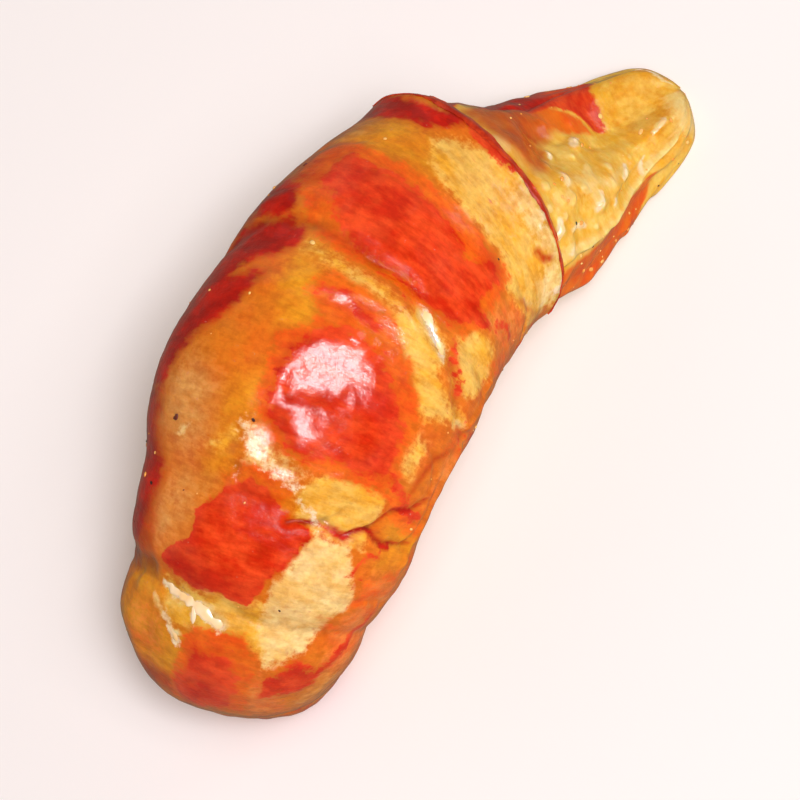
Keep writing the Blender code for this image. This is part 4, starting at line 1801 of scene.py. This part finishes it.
@dataclass
class SauceRuns:
    """Threads of sauce that gather in the creases and shine along their length; their pale colour is partly
    painted highlight.

    A thread is modelled as a rolled strip that sways to the sides and swells along its length.
    """

    form: TailForm
    columns: int = 12
    least_rows: int = 12
    step: float = 0.09
    sink: float = 0.05
    look_ahead: float = 0.2
    sway: Uneven = Uneven(0.10, 1.3, 60)
    swell: Uneven = Uneven(0.9, 0.8, 100, 2)
    swell_limits: Range = (0.25, 2.0)
    thinnest: float = 0.01
    noise_gap: float = 3.1
    smooth: float = 60.0
    name: str = "sauce_runs"

    def thread(self, number: int, run: Run) -> bpy.types.Object:
        """Model one thread, thinner towards both ends.

        Args:
            number: its number, which gives it its own noise.
            run: its line and size.

        Returns:
            The new object.
        """
        path = np.array(run.path)
        steps = np.linalg.norm(np.diff(path * np.array((1.0, DEGREE_WIDTH)), axis=0), axis=1)
        lengths = np.concatenate([[0.0], np.cumsum(steps)])
        rows = max(self.least_rows, int(lengths[-1] / self.step))
        strip = grid_sheet(f"{self.name}_{number}", rows, self.columns)
        share, turn = grid_places(strip)
        at = share * lengths[-1]

        def places(length: np.ndarray) -> np.ndarray:
            """Millimetres along the spine and degrees around it, at lengths of the thread."""
            return np.stack([np.interp(length, lengths, path[:, axis]) for axis in (0, 1)])

        along, degrees = places(at)
        way = places(at + self.look_ahead) - places(at - self.look_ahead)
        way[1] *= DEGREE_WIDTH
        way /= np.linalg.norm(way, axis=0)
        line = np.stack([at, np.full_like(at, self.noise_gap * number), np.zeros_like(at)], axis=1)
        to_end = np.minimum(share, 1.0 - share) * lengths[-1]
        size = np.clip(to_end / (2.0 * run.half_width), self.thinnest, 1.0) ** 0.5
        size *= np.clip(1.0 + self.swell.at(line, number), *self.swell_limits)
        side = np.cos(2 * np.pi * turn) * run.half_width * size + self.sway.at(line, number)
        lift = np.sin(2 * np.pi * turn) * run.height * size - self.sink
        degrees = degrees + way[0] * side / DEGREE_WIDTH
        move_vertices(strip, self.form.surface(Spots(along - way[1] * side, np.radians(degrees)), lift))
        face_outwards(strip, close=True)
        return strip

    def build(self) -> bpy.types.Object:
        """Make all the threads, join them and dress them.

        Returns:
            The finished piece.
        """
        made = [self.thread(number, run) for number, run in enumerate(RUNS)]
        activate(made[0])
        for thread in made:
            thread.select_set(True)
        bpy.ops.object.join()
        rename(made[0], self.name)
        finish_piece(made[0], PALE_SAUCE_AND_HIGHLIGHT.material(), self.smooth)
        return made[0]


@dataclass
class Scatter:
    """Small things strewn over the meat as one joined mesh.

    Each is a low ball, turned to the skin, with its own width and place. Those listed in placed come first,
    given as millimetre, degree and width. The rest are strewn by seeded chance. A try is kept more often on
    the neck and the flanks, and only where it is clearance millimetres above the floor.
    """

    form: TailForm
    name: str
    slot: str
    count: int
    widths: Range
    height: float
    sink: float
    seed: int
    rough: float = 0.0
    smooth: float = 180.0
    placed: tuple[Triple, ...] = ()
    clearance: float = 0.8
    tries: int = 12
    margins: Range = (2.0, 1.5)
    smallness: float = 2.2
    stretches: Range = (0.75, 1.3)

    def density(self, spots: Spots) -> np.ndarray:
        """Share of the tries that are kept.

        Args:
            spots: places on the tail.

        Returns:
            From 0 to 1, for each place.
        """
        neck = ramp(spots.along, self.form.ring - 0.5, self.form.ring + 1.0)
        flank = ramp(np.abs(spots.degrees - 90.0), 40.0, 75.0)
        return unit(0.16 + 0.8 * neck + 0.35 * flank)

    def places(self, rng: np.random.Generator) -> tuple[np.ndarray, ...]:
        """Choose the places: first the listed ones, then the strewn.

        Args:
            rng: source of the random draws.

        Returns:
            Millimetres along, degrees around and widths of all the balls.
        """
        tries = self.tries * self.count
        before, behind = self.margins
        along = rng.uniform(before, self.form.length - behind, tries)
        degrees = rng.uniform(0.0, 360.0, tries)
        spots = Spots(along, np.radians(degrees))
        kept = rng.uniform(0.0, 1.0, tries) < self.density(spots)
        kept &= self.form.points(spots)[:, 2] > self.clearance * MM
        low, high = self.widths
        widths = low + (high - low) * rng.uniform(0.0, 1.0, tries) ** self.smallness
        placed = np.array(self.placed).reshape(-1, 3).T
        strewn = np.stack([along[kept], degrees[kept], widths[kept]])
        return tuple(np.hstack([placed, strewn])[:, : self.count])

    def build(self, material: bpy.types.Material) -> bpy.types.Object:
        """Model one ball, repeat it, set each one in its place and dress them.

        Args:
            material: their finish.

        Returns:
            The finished piece.
        """
        bpy.ops.object.select_all(action="DESELECT")
        bpy.ops.mesh.primitive_ico_sphere_add(subdivisions=2, radius=1.0)
        item = bpy.context.active_object
        rename(item, self.name)
        ball = vertex_points(item)
        array = item.modifiers.new("repeat", "ARRAY")
        array.count = self.count
        array.relative_offset_displace = (1.5, 0.0, 0.0)
        bpy.ops.object.modifier_apply(modifier=array.name)

        rng = np.random.default_rng(self.seed)
        along, degrees, widths = self.places(rng)
        middle, forward, round_it, outward = self.form.frames(Spots(along, np.radians(degrees)))
        spin = rng.uniform(0.0, 2 * np.pi, self.count)[:, None]
        first = np.cos(spin) * forward + np.sin(spin) * round_it
        second = np.cross(outward, first)
        stretch = rng.uniform(*self.stretches, self.count)[:, None]
        uneven = 1.0 + self.rough * rng.uniform(-1.0, 1.0, (self.count, len(ball)))
        radii = 0.5 * widths[:, None] * MM
        x, y, z = (ball[None, :, axis] * uneven * radii for axis in range(3))
        points = middle[:, None, :] + sum(
            way[:, None, :] * reach[:, :, None]
            for way, reach in (
                (first, x * stretch),
                (second, y / stretch),
                (outward, self.height * z - self.sink * radii),
            )
        )
        move_vertices(item, points.reshape(-1, 3))
        finish_piece(item, material, self.smooth)
        return item


# ---------------------------------------------------------------------------
# Studio
# ---------------------------------------------------------------------------
@dataclass
class Studio:
    """Pale floor, soft lights and the camera, which looks down on the back of the tail.

    The lens, the width of the view and its offset are in millimetres, and the rest is in metres.
    """

    image_right: Triple = (0.429, -0.847, -0.315)
    image_up: Triple = (0.895, 0.350, 0.277)
    lens: float = 200.0
    view_width: float = 45.0
    look_offset: Range = (1.65, -3.2)
    floor_size: float = 3.0
    floor_color: Color = (0.96, 0.955, 0.95)
    floor_roughness: float = 0.9
    lamp_distance: float = 0.60
    room_color: Shade = (1.0, 0.80, 0.62, 1.0)
    room_strength: float = 0.18

    def basis(self) -> tuple[Vector, Vector, Vector]:
        """Find the directions of the camera.

        Returns:
            Right, up and backward.
        """
        right = Vector(self.image_right).normalized()
        backward = right.cross(Vector(self.image_up)).normalized()
        return right, backward.cross(right), backward

    def camera(self, target: Vector) -> None:
        """Place the camera.

        Args:
            target: middle of the tail.
        """
        right, up, backward = self.basis()
        data = bpy.data.cameras.new("camera")
        data.lens = self.lens
        distance = self.view_width * MM * self.lens / data.sensor_width
        aside, above = self.look_offset
        place = target + right * aside * MM + up * above * MM + backward * distance
        holder = bpy.data.objects.new("camera", data)
        turn = Matrix((right, up, backward)).transposed().to_4x4()
        holder.matrix_world = Matrix.Translation(place) @ turn
        bpy.context.scene.collection.objects.link(holder)
        bpy.context.scene.camera = holder

    def light(
        self, name: str, target: Vector, offset: Vector, size: float, watts: float, color: Color
    ) -> None:
        """Hang a square soft light, turned towards the tail.

        Args:
            name: its name.
            target: middle of the tail.
            offset: where it hangs from there.
            size: its width.
            watts: its power.
            color: its colour.
        """
        data = bpy.data.lights.new(name, "AREA")
        data.size = size
        data.energy = watts
        data.color = color
        holder = bpy.data.objects.new(name, data)
        holder.location = target + offset
        holder.rotation_euler = (-offset).to_track_quat("-Z", "Y").to_euler()
        bpy.context.scene.collection.objects.link(holder)

    def lights(self, target: Vector) -> None:
        """Hang the lights: the main one with its bright core beside the camera, and three weak ones.

        Args:
            target: middle of the tail.
        """
        right, up, backward = self.basis()
        key = (backward * 1.0 + up * 0.04 + right * 0.10).normalized() * self.lamp_distance
        side = (right * 0.70 + up * 0.55 + backward * 0.45).normalized() * self.lamp_distance
        for name, offset, size, watts, color in (
            ("key_light", key, 0.32, 1.75, (1.0, 0.93, 0.94)),
            ("key_core", key * 1.02, 0.15, 2.0, (1.0, 0.95, 0.99)),
            ("fill_light", Vector((-0.5, 0.7, 0.55)), 0.9, 0.70, (1.0, 0.93, 0.84)),
            ("rear_light", Vector((0.6, 0.5, 0.45)), 0.6, 0.3, (1.0, 0.96, 0.92)),
            ("side_light", side, 0.20, 0.4, (1.0, 0.97, 0.95)),
        ):
            self.light(name, target, offset, size, watts, color)

    def floor(self) -> None:
        """Lay a wide, pale, matte floor that doesn't show in the wet meat."""
        bpy.ops.object.select_all(action="DESELECT")
        bpy.ops.mesh.primitive_plane_add(size=self.floor_size)
        plane = bpy.context.active_object
        plane.name = "studio_floor"
        bench = NodeBench("pale_floor")
        matte = {"Base Color": linear(*self.floor_color), "Roughness": self.floor_roughness}
        plane.data.materials.append(bench.finished(matte))
        plane.visible_glossy = False
        plane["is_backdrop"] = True

    def room(self) -> None:
        """Fill the room with weak, warm light."""
        world = bpy.data.worlds.new("soft_room")
        world.use_nodes = True
        background = world.node_tree.nodes["Background"]
        background.inputs["Color"].default_value = self.room_color
        background.inputs["Strength"].default_value = self.room_strength
        bpy.context.scene.world = world
        bpy.context.scene.view_settings.view_transform = "Standard"

    def build(self) -> None:
        """Set up everything that isn't part of the tail."""
        low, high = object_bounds()
        target = 0.5 * (Vector(low) + Vector(high))
        self.floor()
        self.camera(target)
        self.lights(target)
        self.room()


def main() -> None:
    """Build the tail and its studio."""
    logging.basicConfig(level=logging.INFO, format="%(name)s: %(message)s")
    form = TailForm()
    TailMeat(form).build()
    RingSkin(form).build()
    SauceRuns(form).build()
    drops = Scatter(
        form, "sauce_drops", "sauce", count=220, widths=(0.10, 0.34), height=0.45, sink=0.15, seed=5
    )
    drops.build(AMBER_SAUCE.material())
    pepper = Scatter(
        form, "pepper_specks", "spice", count=34, widths=(0.10, 0.24), height=0.6, sink=-0.1, seed=8,
        rough=0.35, smooth=20.0, placed=((26.75, 40.5, 0.34), (27.8, 75.5, 0.2), (40.9, 118.0, 0.14)),
    )
    pepper.build(GROUND_PEPPER.material())
    Studio().build()


if __name__ == "__main__":
    main()
